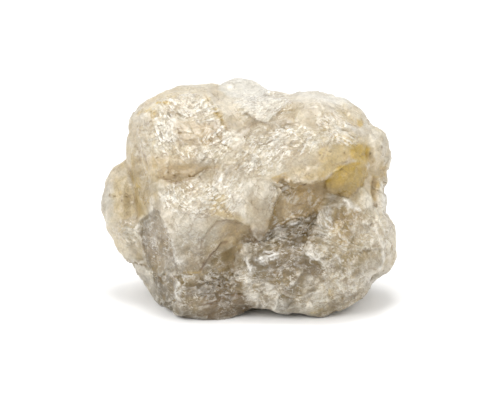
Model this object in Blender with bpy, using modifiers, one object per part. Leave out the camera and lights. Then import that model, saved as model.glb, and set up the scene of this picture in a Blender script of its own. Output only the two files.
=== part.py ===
"""A rough hand-sized chunk of amblygonite, broken along its cleavage and resting on a flat cleavage face.

The stone is drawn face on, in millimetres: every corner is (across, forward, up), where forward is towards
whoever looks at its front. It is then leant back and set down on its base, with +Z up and -Y to the front.
"""

import math

import bmesh
import bpy
from mathutils import Matrix, Vector, noise

MM = 0.001
LEAN_DEG = 15.0          # how far the drawn front leans back once the stone stands on its base
BASE_LEVEL = 2.05        # height, in the leant drawing's millimetres, of the cleavage face that it stands on
GRAIN = 0.5              # mesh size at which the chunks are fused
GAP_HEALED = 0.55        # half the width of a gap between chunks that has grown shut
SKIN_KEPT = 0.12         # how far the healed skin stays outside the chunks
SWELL_SIZE = 8.0         # size of the soft swellings of its skin
SWELL_HEIGHT = 0.3
FLAKE_SIZE = 6.0         # size of the tilted flakes that its breaks leave
FLAKE_TILT = 0.07        # slope of a flake
FACE_BUDGET = 9400       # triangles kept for the finished solid, before its base is cut
FACET_EDGE_DEG = 22.0    # two faces that meet at more than this show an edge
STONE_NAME = "amblygonite_stone"
STONE_COLOUR = (0.78, 0.72, 0.60)
STONE_ROUGHNESS = 0.45

# Each chunk: corners on its face, then how deep it reaches into the stone and how far it narrows there.
CHUNKS = {
    "upper_left": (
        [(-24.8, -1, 30), (-24.5, -1, 34.5), (-24.6, -1, 37), (-24, -2, 40), (-22.5, -2, 42.4),
         (-20.5, -3, 44), (-17.5, -4, 45.8), (-13.5, -6, 47.1), (-8.3, -7, 47.4), (-5, -7, 47),
         (-19.3, 8.5, 41.5), (-16, 7, 44), (-8, 5, 44.8), (-4, 8.5, 39.5), (-18.6, 13, 33),
         (-13.5, 15, 31.5), (-6.5, 14.5, 32), (-18, 12.3, 28.4), (-14.5, 13.2, 27.4),
         (-10, 13.2, 28.8), (-6, 12.5, 30.2)],
        -14, 0.8),
    "middle_left": (
        [(-22.7, 3.5, 29.2), (-22.8, 1, 26.5), (-22.4, 1, 22), (-21.8, 1, 15), (-20, 1.5, 10),
         (-18, 12.3, 28), (-14.5, 12.6, 27.3), (-10, 12.8, 28.6), (-7.5, 13, 28.5), (-17.3, 15.3, 25.3),
         (-12, 17, 24.5), (-8, 16.5, 24.5), (-16.8, 16, 21.5), (-11, 17.3, 20), (-8, 16.5, 20.5),
         (-15.2, 15.3, 17), (-10, 16, 16), (-14, 14, 13.5), (-10, 14.5, 12.5), (-12.2, 13, 9.8),
         (-9.5, 13.3, 10.8), (-6.5, 14.3, 18.7)],
        -12, 0.8),
    "upper_leaf": (
        [(-9.4, 13.8, 15), (-8.5, 14.4, 17), (-6.6, 14.4, 18.8), (-4.5, 14, 19.8), (-1, 13.6, 19.3),
         (0.8, 12.2, 17.5), (-0.5, 12, 16.3), (-2.8, 12.2, 16.5), (-6.3, 12.8, 14), (-9.5, 12.8, 10.6)],
        4, 0.9),
    "lower_leaf": (
        [(-9.3, 12.6, 10.2), (-6.8, 12.6, 13.4), (-5, 12.3, 15.3), (-2.5, 12, 16.6), (-1.4, 9.6, 14.5),
         (-2.4, 8.4, 12.4), (-4, 8, 10.6), (-7, 9, 9.4)],
        2, 0.9),
    "left_base": (
        [(-19.8, 2, 9), (-18.7, 2.5, 6), (-17.2, 3, 3.2), (-16, 3.5, 1.8), (-14, 5, 0.6), (-11, 7, 0.1),
         (-8, 8.5, -0.4), (-6, 8.5, -0.4), (-3.5, 7.5, 0.6), (0, 5.5, 1.8), (2.3, 4, 2.6),
         (-14.3, 13.5, 13), (-13.5, 13, 9.5), (-13.4, 12, 6.5), (-13.5, 10.5, 2.5), (-9.6, 12, 9),
         (-8.6, 11.8, 7.4), (-3, 10.3, 7.6), (-1, 9.6, 6), (-9, 11, 4), (-4, 9.8, 4.5)],
        -13, 0.8),
    "left_lobe": (
        [(-25, -4, 32.4), (-27.6, -5, 30.5), (-28.7, -5, 28), (-29.5, -5, 26), (-30, -5, 23.5),
         (-29.9, -5, 21.5), (-29, -5, 19.8), (-28.2, -5, 18), (-27.8, -5, 16.5), (-27, -5, 14.5),
         (-25.8, -4, 12.8), (-24.8, -4, 11.8), (-23.2, -4, 11.6), (-27.8, -1, 26), (-26.5, 0.5, 24),
         (-25, 1, 27.5), (-25, 1, 21), (-26, 0, 18), (-24.5, 0.5, 15.5), (-23.5, 0, 13), (-20, -2, 30)],
        -10, 0.75),
    "left_skirt": (
        [(-23, -1, 10.5), (-22.7, -1, 9.6), (-21.4, -1, 8.4), (-20.6, -1, 7.2), (-19.7, -1, 6.2),
         (-19, -1, 4.6), (-18, -1, 3), (-17, -1, 2), (-21, 3, 11.5), (-19, 4, 7.5), (-22.5, -2, 12)],
        -9, 0.8),
    "top_knob": (
        [(-5.3, -10, 47.1), (-5, -11, 47.6), (-3.8, -12, 48.2), (-2.3, -12, 48.5), (-1, -12, 48.2),
         (0.5, -12, 47.8), (2.3, -11, 47.6), (3.4, -10, 46.9), (-4.8, -6, 46.6), (-3.6, -4.5, 45.2),
         (0, -3.5, 44.3), (3, -5, 45), (-6, -12.5, 46.2), (-1.5, -14.5, 46.8), (3.5, -13, 45.8),
         (5, -11, 45)],
        -14, 0.9),
    "saddle": (
        [(3.4, -8, 46.5), (5, -8, 46), (6.3, -8, 45.4), (8.9, -8, 45.3), (2.5, -4, 45), (7.3, -4, 45),
         (3, -6, 40), (9, -6, 40)],
        -15, 0.8),
    "white_slope": (
        [(-4.3, -3.5, 45), (-1, -3, 44.6), (3, -4, 45), (7.3, -4, 45), (8, 4, 43.4), (6, 8.5, 41.4),
         (4.6, 10, 40), (3.3, 10.4, 39.4), (2, 10, 39.6), (0, 8, 41), (-2, 5, 42.7), (-5, 1, 44)],
        -12, 0.8),
    "upper_right": (
        [(6.5, -5, 45.3), (8.9, -5, 45.3), (10.5, -5, 45.6), (12, -6, 46), (13.5, -6, 46.1),
         (15, -6, 45.7), (18, -5, 44.4), (20.9, -4, 43.5), (23, -3, 42.1), (24.7, -2, 39.8),
         (25, -1, 37), (4.8, 10.3, 39.8), (7.6, 7, 43), (11, 6, 43.7), (14.7, 6.5, 43.8),
         (17.5, 9, 40.3), (21.5, 8.5, 37.5), (23.5, 5, 35), (24, 3, 31), (-5.5, 13, 33),
         (-5.5, 13.2, 31), (-1, 13.6, 35), (4.5, 13, 37), (9, 13, 37.5), (13, 12.8, 37), (17, 11, 36.5),
         (5.3, 14.8, 29.2), (7.3, 15, 29.2), (8.2, 15.3, 28.4), (10, 15.4, 27.5), (12.5, 15.2, 27.4),
         (15, 14.5, 28.1), (14.5, 14.8, 31)],
        -14, 0.8),
    "yellow_shelf": (
        [(14.2, 14, 33.8), (14.4, 15, 29.5), (16, 13.2, 36), (20.5, 11, 36.8), (23.8, 8, 34.5),
         (22.8, 9, 31.5), (19.5, 11.8, 30.5), (16.5, 13.8, 28.6), (15.8, 14, 28.1)],
        2, 0.9),
    "yellow_drop": (
        [(15.3, 11.5, 28.3), (15.1, 10.7, 27), (16, 10.7, 25.6), (17.8, 11, 25.1), (20.3, 10.5, 24.6),
         (21.8, 9.6, 25.9), (23, 8.4, 28), (24, 7, 31), (23, 8.8, 32.3), (18.5, 12.6, 29.5),
         (20.5, 12.2, 28.8), (19, 12.6, 27)],
        2, 0.9),
    "right_knob": (
        [(25, -2, 38.7), (26, -2, 38.5), (27.2, -2, 38.1), (28.2, -2, 37), (28.7, -2, 35.3),
         (29, -2, 33), (28.7, -2, 31.5), (28.2, -2, 30.3), (27.5, -2, 29.8), (24, 3.5, 38),
         (25, 4.5, 36.5), (27, 2.5, 35.5), (25.5, 5, 33), (27, 2.8, 32), (24.8, 4.5, 30.5)],
        -7, 0.8),
    "right_upper_lump": (
        [(27.9, -1.5, 29.9), (28.2, -1.5, 28.5), (27.9, -1.5, 27), (27.4, -1.5, 26), (24.3, 4.5, 29.5),
         (26.5, 3, 28.5), (24.6, 4.5, 26), (26.8, 2.5, 26.3)],
        -5, 0.85),
    "right_lower_lump": (
        [(27.4, -1.5, 26), (28.2, -1.5, 24.6), (27.7, -1.5, 22.8), (27.6, -1.5, 21), (25.3, 4, 25.8),
         (25.4, 4.2, 22.5), (26.9, 3, 24), (26, 4, 21)],
        -4, 0.85),
    "right_lobe": (
        [(27.8, -1, 20.8), (28.5, -1, 20.2), (29.3, -1, 19.5), (29.8, -1, 17), (30, -1, 13.5),
         (29.5, -1, 11.3), (28.3, -1, 9.8), (27.5, -1, 8.7), (25.3, -1, 7.5), (25.6, 5.2, 20.5),
         (27.5, 4, 19), (28.5, 3, 15), (28, 3.5, 11), (26, 5, 8.5)],
        -10, 0.75),
    "lower_right": (
        [(15.3, 10.3, 24.9), (19.7, 9.4, 24.3), (20.2, 9.2, 24.6), (23.3, 7.4, 26.6), (25, 6.4, 24.2),
         (25.3, 7, 20.5), (27.6, 7, 16), (27.5, 8, 11), (26.5, 8.5, 10), (23, 10.2, 8), (20, 12.2, 7.6),
         (15.6, 14.8, 10.5), (12.8, 15.9, 12.7), (11.3, 15.9, 13.6), (12.6, 15, 16.5), (14.3, 12.6, 21),
         (18, 13.3, 13)],
        -4, 0.8),
    "lower_middle": (
        [(-1.3, 9.5, 10), (-1.2, 10, 13), (-0.5, 11, 15), (1, 11.6, 15.8), (4, 11, 15.7),
         (6, 10, 17.2), (10, 9.3, 19.8), (14.6, 8.6, 22), (13.5, 12, 16), (11, 13.6, 13),
         (3.5, 14.3, 12.5), (1, 13.5, 12.3), (-0.9, 10.3, 5.5), (-0.3, 10, 4.3), (2.5, 9, 2.8),
         (5, 8, 1.6), (8, 8, 1), (11, 7.5, 0.9), (3, 13.3, 8), (8.5, 13.3, 9), (6, 12, 4),
         (11.5, 12, 5), (15, 13.3, 9.3)],
        -11, 0.8),
    "right_skirt": (
        [(11, 8, 0.9), (12.3, 7.5, 0.5), (15, 7, 0.4), (16.3, 6.5, 1), (18, 6, 2.3), (20, 6, 2.6),
         (21.2, 5.5, 3.4), (22, 5, 4.8), (24, 4, 5.9), (25.3, 3.5, 7.4), (11.2, 12, 2.7),
         (12.8, 12.5, 5.8), (13.4, 12.8, 7.3), (15.6, 13.6, 9), (20, 11.5, 7.3), (24.5, 8, 7.8),
         (17, 10.8, 4.3), (21, 7.5, 4.7)],
        -12, 0.8),
    "centre_shelf": (
        [(-7.4, 15.2, 26), (-5.6, 14, 30.7), (-7.3, 16, 21.2), (-5, 16.2, 20.3), (-2.3, 16, 20),
         (-0.2, 15.8, 19.5), (-5, 16.8, 23.5), (-1, 16.5, 25), (-1, 15.2, 29), (3, 15, 29.5),
         (-4, 14, 31)],
        6, 0.9),
    "tongue": (
        [(-0.6, 15.6, 25.5), (0, 15, 29), (4.5, 15, 29), (6.2, 13.2, 26.6), (5, 13, 23.3),
         (4.3, 13, 20), (3, 13.3, 16.8), (2.1, 13.6, 15.8), (1.2, 14.2, 17), (0, 15, 19.3),
         (-0.7, 15.3, 21), (2.5, 15.9, 24)],
        6, 0.9),
    "recess": (
        [(3, 11, 29), (9, 11.4, 29), (13, 11, 28.5), (15.5, 9.8, 28), (16, 9, 24), (14.8, 9, 22),
         (10, 9.7, 19.8), (4, 9.4, 15.5), (2.5, 9.4, 17), (-4, 9, 15), (-5, 9, 9)],
        -4, 0.9),
    "heart": (
        [(-19, -6, 38), (-20, -6, 14), (-15, -4, 6), (18, -6, 6), (24, -6, 18), (24, -6, 34),
         (18, -6, 41), (-12, -6, 44), (-15, 8, 36), (-15, 9, 16), (-10, 8, 6), (15, 6, 8),
         (20, 4, 20), (18, 4, 34)],
        -16, 0.8),
    "heart_left": (
        [(-20.5, 2, 33), (-21, 2, 22), (-19.5, 2, 12), (-17.5, 11, 26), (-16, 13, 18), (-13, 11, 10),
         (-5, 9, 11), (-3, 9, 13), (-2, 12, 17), (-2, 13, 20), (-3, 13.4, 29), (-8, 13, 33), (-17, 10.5, 34)],
        -6, 0.9),
    "heart_crown": (
        [(-9, 3.5, 44.6), (-5, -1, 46), (0, -2, 45), (-7, 10, 38.5), (0, 9, 38.5), (2, 7, 39.6),
         (-3, 3.2, 43.3), (-6, 12, 34), (0, 12, 34)],
        -8, 0.9),
    "heart_right": (
        [(12, 7.5, 34), (21, 6, 33), (23.6, 5, 30), (24.3, 4.5, 26), (24.6, 5, 18), (25, 5.5, 10),
         (12, 10.5, 10), (13, 9, 18), (16, 7.5, 26), (22, 6.5, 24), (22, 8, 12)],
        -6, 0.9),
    "heart_low": (
        [(-10, 10.5, 9.5), (-7, 9.5, 2.5), (-2, 8.5, 3.5), (3, 8.5, 4), (9, 9.5, 4), (15, 9, 3),
         (21, 7, 6), (22, 8.5, 10), (11, 12.5, 11), (0, 9, 12), (-6, 8.5, 10.5)],
        -8, 0.9),
    "left_web": (
        [(-24.6, -5, 33), (-28, -7, 28), (-28.3, -7, 19), (-24.5, -5, 12), (-22, -3, 9.5),
         (-18.5, -1, 5), (-22.5, -0.5, 30), (-23.3, -0.5, 22), (-21.5, 0, 13)],
        -11, 0.85),
    "right_web": (
        [(24.3, -3, 39.5), (27, -4, 37), (27.6, -4, 30), (27.1, -4, 24), (28.2, -4, 19),
         (28, -3, 11), (26, -1, 8.2), (23.5, 0, 6.2), (21, 0, 4), (23, 4, 36), (24.3, 3.5, 28),
         (25.2, 3.8, 16), (23.5, 4.5, 8)],
        -10, 0.85),
    "back_upper_left": (
        [(-22, -5, 41), (-23.8, -6, 36), (-24.2, -8, 29), (-16, -7, 45.6), (-8, -8, 47),
         (-3.5, -13, 46.2), (-20, -12, 39.5), (-21.5, -14, 31), (-12, -15.5, 42), (-4, -17, 40.5),
         (-6.5, -20.5, 33), (-17.5, -17, 27.5), (-9, -21.5, 25), (-23, -12, 24.5)],
        0, 0.7),
    "back_upper_right": (
        [(4, -11, 45), (12, -8.5, 45.4), (19.5, -7, 43.2), (24, -6.5, 38.8), (25.8, -8, 33),
         (25.4, -9, 26.5), (9, -14.5, 42.5), (16, -13, 41), (21.8, -12, 36), (23.2, -14.5, 29),
         (13.5, -18.3, 34.5), (2, -18, 37.5), (4.5, -20.5, 29), (17, -19, 25)],
        0, 0.7),
    "back_lower_left": (
        [(-24.5, -8, 23), (-23.6, -8, 14), (-19.4, -7, 7), (-14.5, -7, 3), (-21, -15.5, 21),
         (-18.4, -17, 11.5), (-12.5, -20.5, 17.5), (-11, -19, 6), (-4.5, -23, 20.5), (-5, -23, 10.5),
         (-3.5, -19.5, 6.2), (-17, -17.5, 26), (1.5, -21, 16)],
        0, 0.7),
    "back_lower_right": (
        [(27, -7, 19.5), (27.6, -7, 12.5), (24.3, -6, 8), (19.5, -7, 3.8), (24.8, -14, 18),
         (21.5, -17.5, 10.5), (13, -20, 17.5), (9.5, -22, 11.5), (1, -20, 22), (5, -20, 6.2),
         (14.5, -15, 4.8), (24.5, -12, 24.5), (11, -20.5, 24)],
        0, 0.7),
    "back_heart": (
        [(-12, -16.5, 38), (12, -15, 40), (14, -18.5, 24), (-12, -19.5, 22), (-10, -19.5, 10.5),
         (10, -19, 11), (0, -19.5, 32), (-2, -21, 20), (-3, -14, 45.5), (4, -12.5, 44.5),
         (-2, -15.5, 42.5), (0, -17, 5), (20, -12, 30), (-20, -12, 26)],
        0, 0.7),
    "foot": (
        [(-14, 2, 1.2), (-15, -6, 3.3), (-11, -14.5, 5.3), (4, -15.5, 5.6), (14.5, -9.5, 4),
         (17, 1, 1.4), (8, 1, 1.2), (-2, 1, 1.2), (-10, 0, 8), (12, 0, 8), (0, -12, 10)],
        -8, 0.7),
}


def add_chunk(bm, face, back_depth, back_share):
    """A convex chunk: the corners of its face, and the same corners drawn in round their middle behind it."""
    corners = [Vector(c) for c in face]
    middle = sum(corners, Vector()) / len(corners)
    for corner in list(corners):
        across = middle.x + (corner.x - middle.x) * back_share
        up = middle.z + (corner.z - middle.z) * back_share
        corners.append(Vector((across, back_depth, up)))
    verts = [bm.verts.new((c.x, -c.y, c.z)) for c in corners]
    made = bmesh.ops.convex_hull(bm, input=verts, use_existing_faces=False)
    spare = {v for v in made["geom_interior"] + made["geom_unused"] if isinstance(v, bmesh.types.BMVert)}
    bmesh.ops.delete(bm, geom=list(spare), context="VERTS")


def rough_mesh():
    """All the chunks, still overlapping one another."""
    bm = bmesh.new()
    for face, back_depth, back_share in CHUNKS.values():
        add_chunk(bm, face, back_depth, back_share)
    mesh = bpy.data.meshes.new("rough")
    bm.to_mesh(mesh)
    bm.free()
    return mesh


def reskin(obj):
    """A fresh even skin round everything in obj."""
    remesh = obj.modifiers.new("reskin", "REMESH")
    remesh.mode = "VOXEL"
    remesh.voxel_size = GRAIN


def swell(obj, distance):
    """Move the skin outward by distance, inward where it is negative."""
    push = obj.modifiers.new("swell", "DISPLACE")
    push.direction = "NORMAL"
    push.mid_level = 0.0
    push.strength = distance


def baked(obj):
    """The mesh of obj with its modifiers applied; obj itself goes."""
    graph = bpy.context.evaluated_depsgraph_get()
    mesh = bpy.data.meshes.new_from_object(obj.evaluated_get(graph))
    bpy.data.objects.remove(obj)
    return mesh


def shown(mesh):
    """mesh as an object of the scene, so that modifiers can work on it."""
    obj = bpy.data.objects.new(mesh.name, mesh)
    bpy.context.scene.collection.objects.link(obj)
    return obj


def fused(mesh):
    """One closed skin round all the chunks, with the narrow gaps between them healed."""
    obj = shown(mesh)
    reskin(obj)
    swell(obj, GAP_HEALED)
    reskin(obj)
    swell(obj, SKIN_KEPT - GAP_HEALED)
    reskin(obj)
    return baked(obj)


def flake_height(at):
    """Height of a broken surface at a point: flat flakes about FLAKE_SIZE across, each tilted its own way."""
    place = at / FLAKE_SIZE
    middle = noise.voronoi(place)[1][0]
    facing = noise.cell_vector(middle * 37.0) * 2.0 - Vector((1.0, 1.0, 1.0))
    return FLAKE_TILT * FLAKE_SIZE * facing.dot(place - middle)


def weather(mesh):
    """Raise and lower the skin into soft swellings and tilted flakes."""
    normals = [v.normal.copy() for v in mesh.vertices]
    for vert, normal in zip(mesh.vertices, normals):
        at = vert.co.copy()
        height = SWELL_HEIGHT * noise.noise(at / SWELL_SIZE) + flake_height(at)
        vert.co = at + normal * height


def thinned(mesh):
    """The same skin in about FACE_BUDGET triangles."""
    obj = shown(mesh)
    collapse = obj.modifiers.new("thin", "DECIMATE")
    collapse.ratio = FACE_BUDGET / (2 * len(mesh.polygons))
    return baked(obj)


def set_down(mesh):
    """Cut the base flat, close it, and bring the stone to rest on the ground, centred on the origin."""
    bm = bmesh.new()
    bm.from_mesh(mesh)
    everything = bm.verts[:] + bm.edges[:] + bm.faces[:]
    bmesh.ops.bisect_plane(bm, geom=everything, plane_co=(0, 0, BASE_LEVEL), plane_no=(0, 0, -1),
                           clear_outer=True)
    rim = [e for e in bm.edges if e.is_boundary]
    bmesh.ops.triangle_fill(bm, edges=rim, use_beauty=True, normal=(0, 0, -1))
    bmesh.ops.triangulate(bm, faces=[f for f in bm.faces if len(f.verts) > 3])
    low = [min(v.co[axis] for v in bm.verts) for axis in range(3)]
    high = [max(v.co[axis] for v in bm.verts) for axis in range(3)]
    shift = Vector((-(low[0] + high[0]) / 2, -(low[1] + high[1]) / 2, -BASE_LEVEL))
    bmesh.ops.translate(bm, vec=shift, verts=bm.verts)
    bmesh.ops.scale(bm, vec=(MM, MM, MM), verts=bm.verts)
    bmesh.ops.recalc_face_normals(bm, faces=bm.faces)
    bm.to_mesh(mesh)
    bm.free()
    print("set down by", [round(s, 4) for s in shift], "to", len(mesh.polygons), "triangles")


def stone_material():
    """Milky cream amblygonite."""
    material = bpy.data.materials.new("amblygonite")
    material.use_nodes = True
    shader = material.node_tree.nodes["Principled BSDF"]
    shader.inputs["Base Color"].default_value = (*STONE_COLOUR, 1.0)
    shader.inputs["Roughness"].default_value = STONE_ROUGHNESS
    return material


def main():
    for old in list(bpy.data.objects):
        bpy.data.objects.remove(old)
    mesh = fused(rough_mesh())
    weather(mesh)
    mesh.transform(Matrix.Rotation(math.radians(-LEAN_DEG), 4, "X"))
    mesh = thinned(mesh)
    set_down(mesh)
    mesh.name = STONE_NAME
    mesh.materials.clear()
    mesh.materials.append(stone_material())
    mesh.shade_smooth()
    mesh.set_sharp_from_angle(angle=math.radians(FACET_EDGE_DEG))
    collection = bpy.data.collections.new("amblygonite")
    bpy.context.scene.collection.children.link(collection)
    collection.objects.link(bpy.data.objects.new(STONE_NAME, mesh))


main()
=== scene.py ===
"""Looks of a rough amblygonite stone: its broken skin, its milky body, stains and veils, painted light and
shade, and the studio.
"""

import itertools
import math

import bmesh
import bpy
import numpy as np
from mathutils import Matrix, Vector


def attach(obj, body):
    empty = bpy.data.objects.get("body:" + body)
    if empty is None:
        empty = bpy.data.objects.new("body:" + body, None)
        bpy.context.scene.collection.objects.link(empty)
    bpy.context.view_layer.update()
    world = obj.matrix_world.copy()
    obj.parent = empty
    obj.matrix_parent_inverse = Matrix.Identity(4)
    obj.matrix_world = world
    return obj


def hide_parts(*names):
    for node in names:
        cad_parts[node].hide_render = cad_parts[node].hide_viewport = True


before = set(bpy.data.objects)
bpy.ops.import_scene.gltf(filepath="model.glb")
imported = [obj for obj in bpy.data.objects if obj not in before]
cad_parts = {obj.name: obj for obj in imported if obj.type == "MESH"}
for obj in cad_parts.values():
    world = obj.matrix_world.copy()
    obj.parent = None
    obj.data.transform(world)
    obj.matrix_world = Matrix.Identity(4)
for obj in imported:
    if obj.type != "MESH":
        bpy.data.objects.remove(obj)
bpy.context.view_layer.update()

# ---------------------------------------------------------------- the stone's own drawing
# Places on the stone are given on its drawing, in millimetres: x across, u up its front face, and d forward
# out of it. The stone stands with that drawing leant back, and shifted so that its base is on the ground.

MM = 0.001
LEAN = math.radians(15.0)
SET_DOWN = Vector((-0.136, -8.098, -2.05))       # puts the leant stone's base on the ground, in mm
UP_RIGHT = Matrix.Rotation(LEAN, 3, "X")         # turns the standing stone back to its drawing

NODE = "amblygonite_stone"
SKIN_GRAIN = 0.25                        # spacing of the mesh on which the broken skin is worked, in mm
SKIN_FACES = 190000                      # triangles kept in it
MERGED = 0.00001                         # points of the solid that are closer than this are one, in metres
DEEPEST, HIGHEST = -1.2, 1.0             # how far below and above the solid the skin may lie, in mm
FOOT = 1.2                               # height above the ground in which the skin's breaks die out, in mm
SHARP_ANGLE = math.radians(28.0)         # a sharper turn between two triangles shows as an edge
FAR = 1e9                                # farther off than anything on the stone, in mm


def drawing_places(coordinates):
    """Rows (x, -d, u) on the drawing, in mm, of rows of the stone's own coordinates in metres."""
    return (coordinates / MM - np.array(SET_DOWN)) @ np.array(UP_RIGHT).T


# ---------------------------------------------------------------- patterns

def smooth_step(low, high, value):
    """0 below low, 1 above high, and an even turn between them."""
    share = np.clip((value - low) / (high - low), 0.0, 1.0)
    return share * share * (3.0 - 2.0 * share)


CELL_KEYS = (73856093, 19349663, 83492791)       # large factors that tell neighbouring cells apart
SEED_KEY = 961748941
STIRS = ((15, 2246822519), (13, 3266489917))     # shift and factor of each stirring of a cell's number
WORD = 0xFFFFFFFF                                # keeps that number to 32 bits


def scattered(cells, seed):
    """Three even random shares, 0 to 1, for each whole-numbered cell."""
    key = np.bitwise_xor.reduce(cells * np.array(CELL_KEYS), axis=1) ^ seed * SEED_KEY
    shares = []
    for _ in range(3):
        for shift, factor in STIRS:
            key = ((key ^ key >> shift) * factor) & WORD
        shares.append((key >> 8) / 2.0 ** 24)
    return np.stack(shares, axis=1)


def swells(places, size, seed):
    """Three smooth waves, -1 to 1, about size mm across."""
    laid = places / size
    low = np.floor(laid).astype(np.int64)
    share = laid - low
    share = share * share * (3.0 - 2.0 * share)
    total = np.zeros_like(laid)
    for corner in itertools.product((0, 1), repeat=3):
        weight = np.where(np.array(corner, dtype=bool), share, 1.0 - share).prod(axis=1)
        total += weight[:, None] * scattered(low + np.array(corner), seed)
    return total * 2.0 - 1.0


class Flakes:
    """Flat cleavage flakes that break up the skin, drawn out along one lie; edge is how far the next is."""

    def __init__(self, places, size, seed, stretch=(1.0, 1.0, 1.0), lie=0.0):
        cos, sin = math.cos(math.radians(lie)), math.sin(math.radians(lie))
        turn = np.array(((cos, 0.0, -sin), (0.0, 1.0, 0.0), (sin, 0.0, cos)))
        warped = places + 0.22 * size * swells(places, size * 0.8, seed + 50)
        laid = (warped @ turn) * np.array(stretch) / size
        low = np.floor(laid).astype(np.int64)
        far = np.full((2, len(laid)), FAR)
        offset = np.zeros((2, len(laid), 3))
        cell = np.zeros((2, len(laid), 3), dtype=np.int64)
        for step in itertools.product((-1, 0, 1), repeat=3):
            new_cell = low + np.array(step)
            new_offset = laid - new_cell - scattered(new_cell, seed)
            new_far = (new_offset ** 2).sum(axis=1)
            first = new_far < far[0]
            for held, new in ((offset, new_offset), (cell, new_cell), (far, new_far)):
                held[1, first] = held[0, first]
                held[0, first] = new[first]
            next_one = ~first & (new_far < far[1])
            for held, new in ((offset, new_offset), (cell, new_cell), (far, new_far)):
                held[1, next_one] = new[next_one]
        self.size = size
        self.offset = offset
        self.chances = [scattered(one, seed + 9) for one in cell]
        self.chance = self.chances[0]
        self.edge = (np.sqrt(far[1]) - np.sqrt(far[0])) * size

    def height(self, tilt, ramp=0.01, common=(0.0, 0.0, 0.0)):
        """How far places stand out when each flake is tilted its own way, and all of them a common way."""
        heights = [(((chance * 2.0 - 1.0) * tilt + np.array(common)) * offset).sum(axis=1)
                   for chance, offset in zip(self.chances, self.offset)]
        share = 0.5 * (1.0 - smooth_step(0.0, ramp, self.edge))
        return self.size * (heights[0] + share * (heights[1] - heights[0]))


RISER = 0.84                             # share of a ledge's run after which it drops back


def ledges(places, across, spacing, height, waver, seed):
    """Height of a flight of cleavage ledges that climb along a direction and drop back at each riser."""
    across = np.array(across) / np.linalg.norm(across)
    bend = swells(places, 5.0, seed)[:, 0] * waver + swells(places, 1.7, seed + 1)[:, 0] * waver * 0.4
    climb = places @ across / spacing + bend
    share = climb - np.floor(climb)
    return height * (share - smooth_step(RISER, 1.0, share))


# ---------------------------------------------------------------- places on the drawing

ZONE_FADE = (0.65, 1.2)                  # shares of its reach between which a zone fades out


def zone(x, u, reach_x, reach_u, tilt=0.0):
    """A round-edged patch: its middle and reach on the drawing, turned by tilt degrees."""
    cos, sin = math.cos(math.radians(tilt)), math.sin(math.radians(tilt))

    def share(across, up):
        along = ((across - x) * cos + (up - u) * sin) / reach_x
        aside = ((up - u) * cos - (across - x) * sin) / reach_u
        return 1.0 - smooth_step(*ZONE_FADE, np.hypot(along, aside))
    return share


def far_from(start, end, across, up):
    """Distance from each place to the stretch between two points of the drawing."""
    run, rise = end[0] - start[0], end[1] - start[1]
    share = ((across - start[0]) * run + (up - start[1]) * rise) / (run * run + rise * rise)
    share = np.clip(share, 0.0, 1.0)
    return np.hypot(across - start[0] - share * run, up - start[1] - share * rise)


def outline(points, soft=0.3):
    """A sharp-edged patch inside a closed outline of points (x, u)."""
    def share(across, up):
        nearest = np.full(len(across), FAR)
        inside = np.zeros(len(across), dtype=bool)
        for start, end in zip(points, points[1:] + points[:1]):
            nearest = np.minimum(nearest, far_from(start, end, across, up))
            crosses = (start[1] > up) != (end[1] > up)
            slope = (end[0] - start[0]) / (end[1] - start[1]) if end[1] != start[1] else 0.0
            inside ^= crosses & (across < start[0] + (up - start[1]) * slope)
        return smooth_step(-soft, soft, np.where(inside, nearest, -nearest))
    return share


def line(points, width):
    """A thin line through points (x, u) of the drawing."""
    def share(across, up):
        nearest = np.full(len(across), FAR)
        for start, end in zip(points, points[1:]):
            nearest = np.minimum(nearest, far_from(start, end, across, up))
        return 1.0 - smooth_step(0.0, width, nearest)
    return share


def beside(points, across, up):
    """Distance from a line of points, and its side: 1 for places left of the line's run, -1 right of it."""
    nearest = np.full(len(across), FAR)
    side = np.zeros(len(across))
    for start, end in zip(points, points[1:]):
        gap = far_from(start, end, across, up)
        left = np.sign((end[0] - start[0]) * (up - start[1]) - (end[1] - start[1]) * (across - start[0]))
        side = np.where(gap < nearest - 1e-6, left, side)
        nearest = np.minimum(nearest, gap)
    return nearest, side


def most(shapes, across, up):
    """How far each place lies in any of these patches."""
    return np.max([shape(across, up) for shape in shapes], axis=0)


# ---------------------------------------------------------------- the broken skin

SCALY = [
    zone(-12, 38.5, 8.5, 7, -35), zone(-4.5, 35, 4, 5.5, -35), zone(6, 36, 6.5, 3.4, 5),
    zone(-10, 24.5, 6, 4.2, -20), zone(1.5, 31.5, 5.5, 3.2), zone(17.5, 38, 4.5, 3, -35),
    zone(6.6, 25.5, 1.6, 2.6, 15), zone(-20.8, 37, 2, 7), zone(26.3, 26, 1.8, 4),
]
BROKEN = [
    zone(-5, 8, 4, 1.8), zone(8.5, 18, 5, 2.6, 20), zone(13.2, 17, 2, 3, 60), zone(-13.3, 8, 1, 3.5, 10),
    zone(7.5, 26.5, 3, 1.5), zone(-23.8, 17.2, 2, 2.2),
]
FACETED = [
    zone(-10, 4, 8, 5), zone(-15.6, 6, 2.6, 6, 6), zone(5, 8, 8, 7.5), zone(18, 6, 8, 4.5),
    zone(19.5, 17, 6, 7.5), zone(28, 14.5, 2.2, 6),
]
SMOOTH = [
    zone(10.5, 31, 4, 3), zone(19, 31, 5, 5, 20), zone(2.5, 23, 2.6, 5), zone(-26, 23, 4, 7),
    zone(-1, 47, 4.5, 2), zone(-12.5, 16, 3, 4), zone(20.5, 17, 4, 5), zone(27, 34, 3, 5),
    zone(-18, 17, 2.2, 5, -15), zone(11, 23.2, 3.5, 2.4), zone(-4.5, 13.5, 3.5, 4, 45), zone(10, 6, 3, 3),
    zone(2.3, 37, 2.4, 1.8),
]

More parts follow.
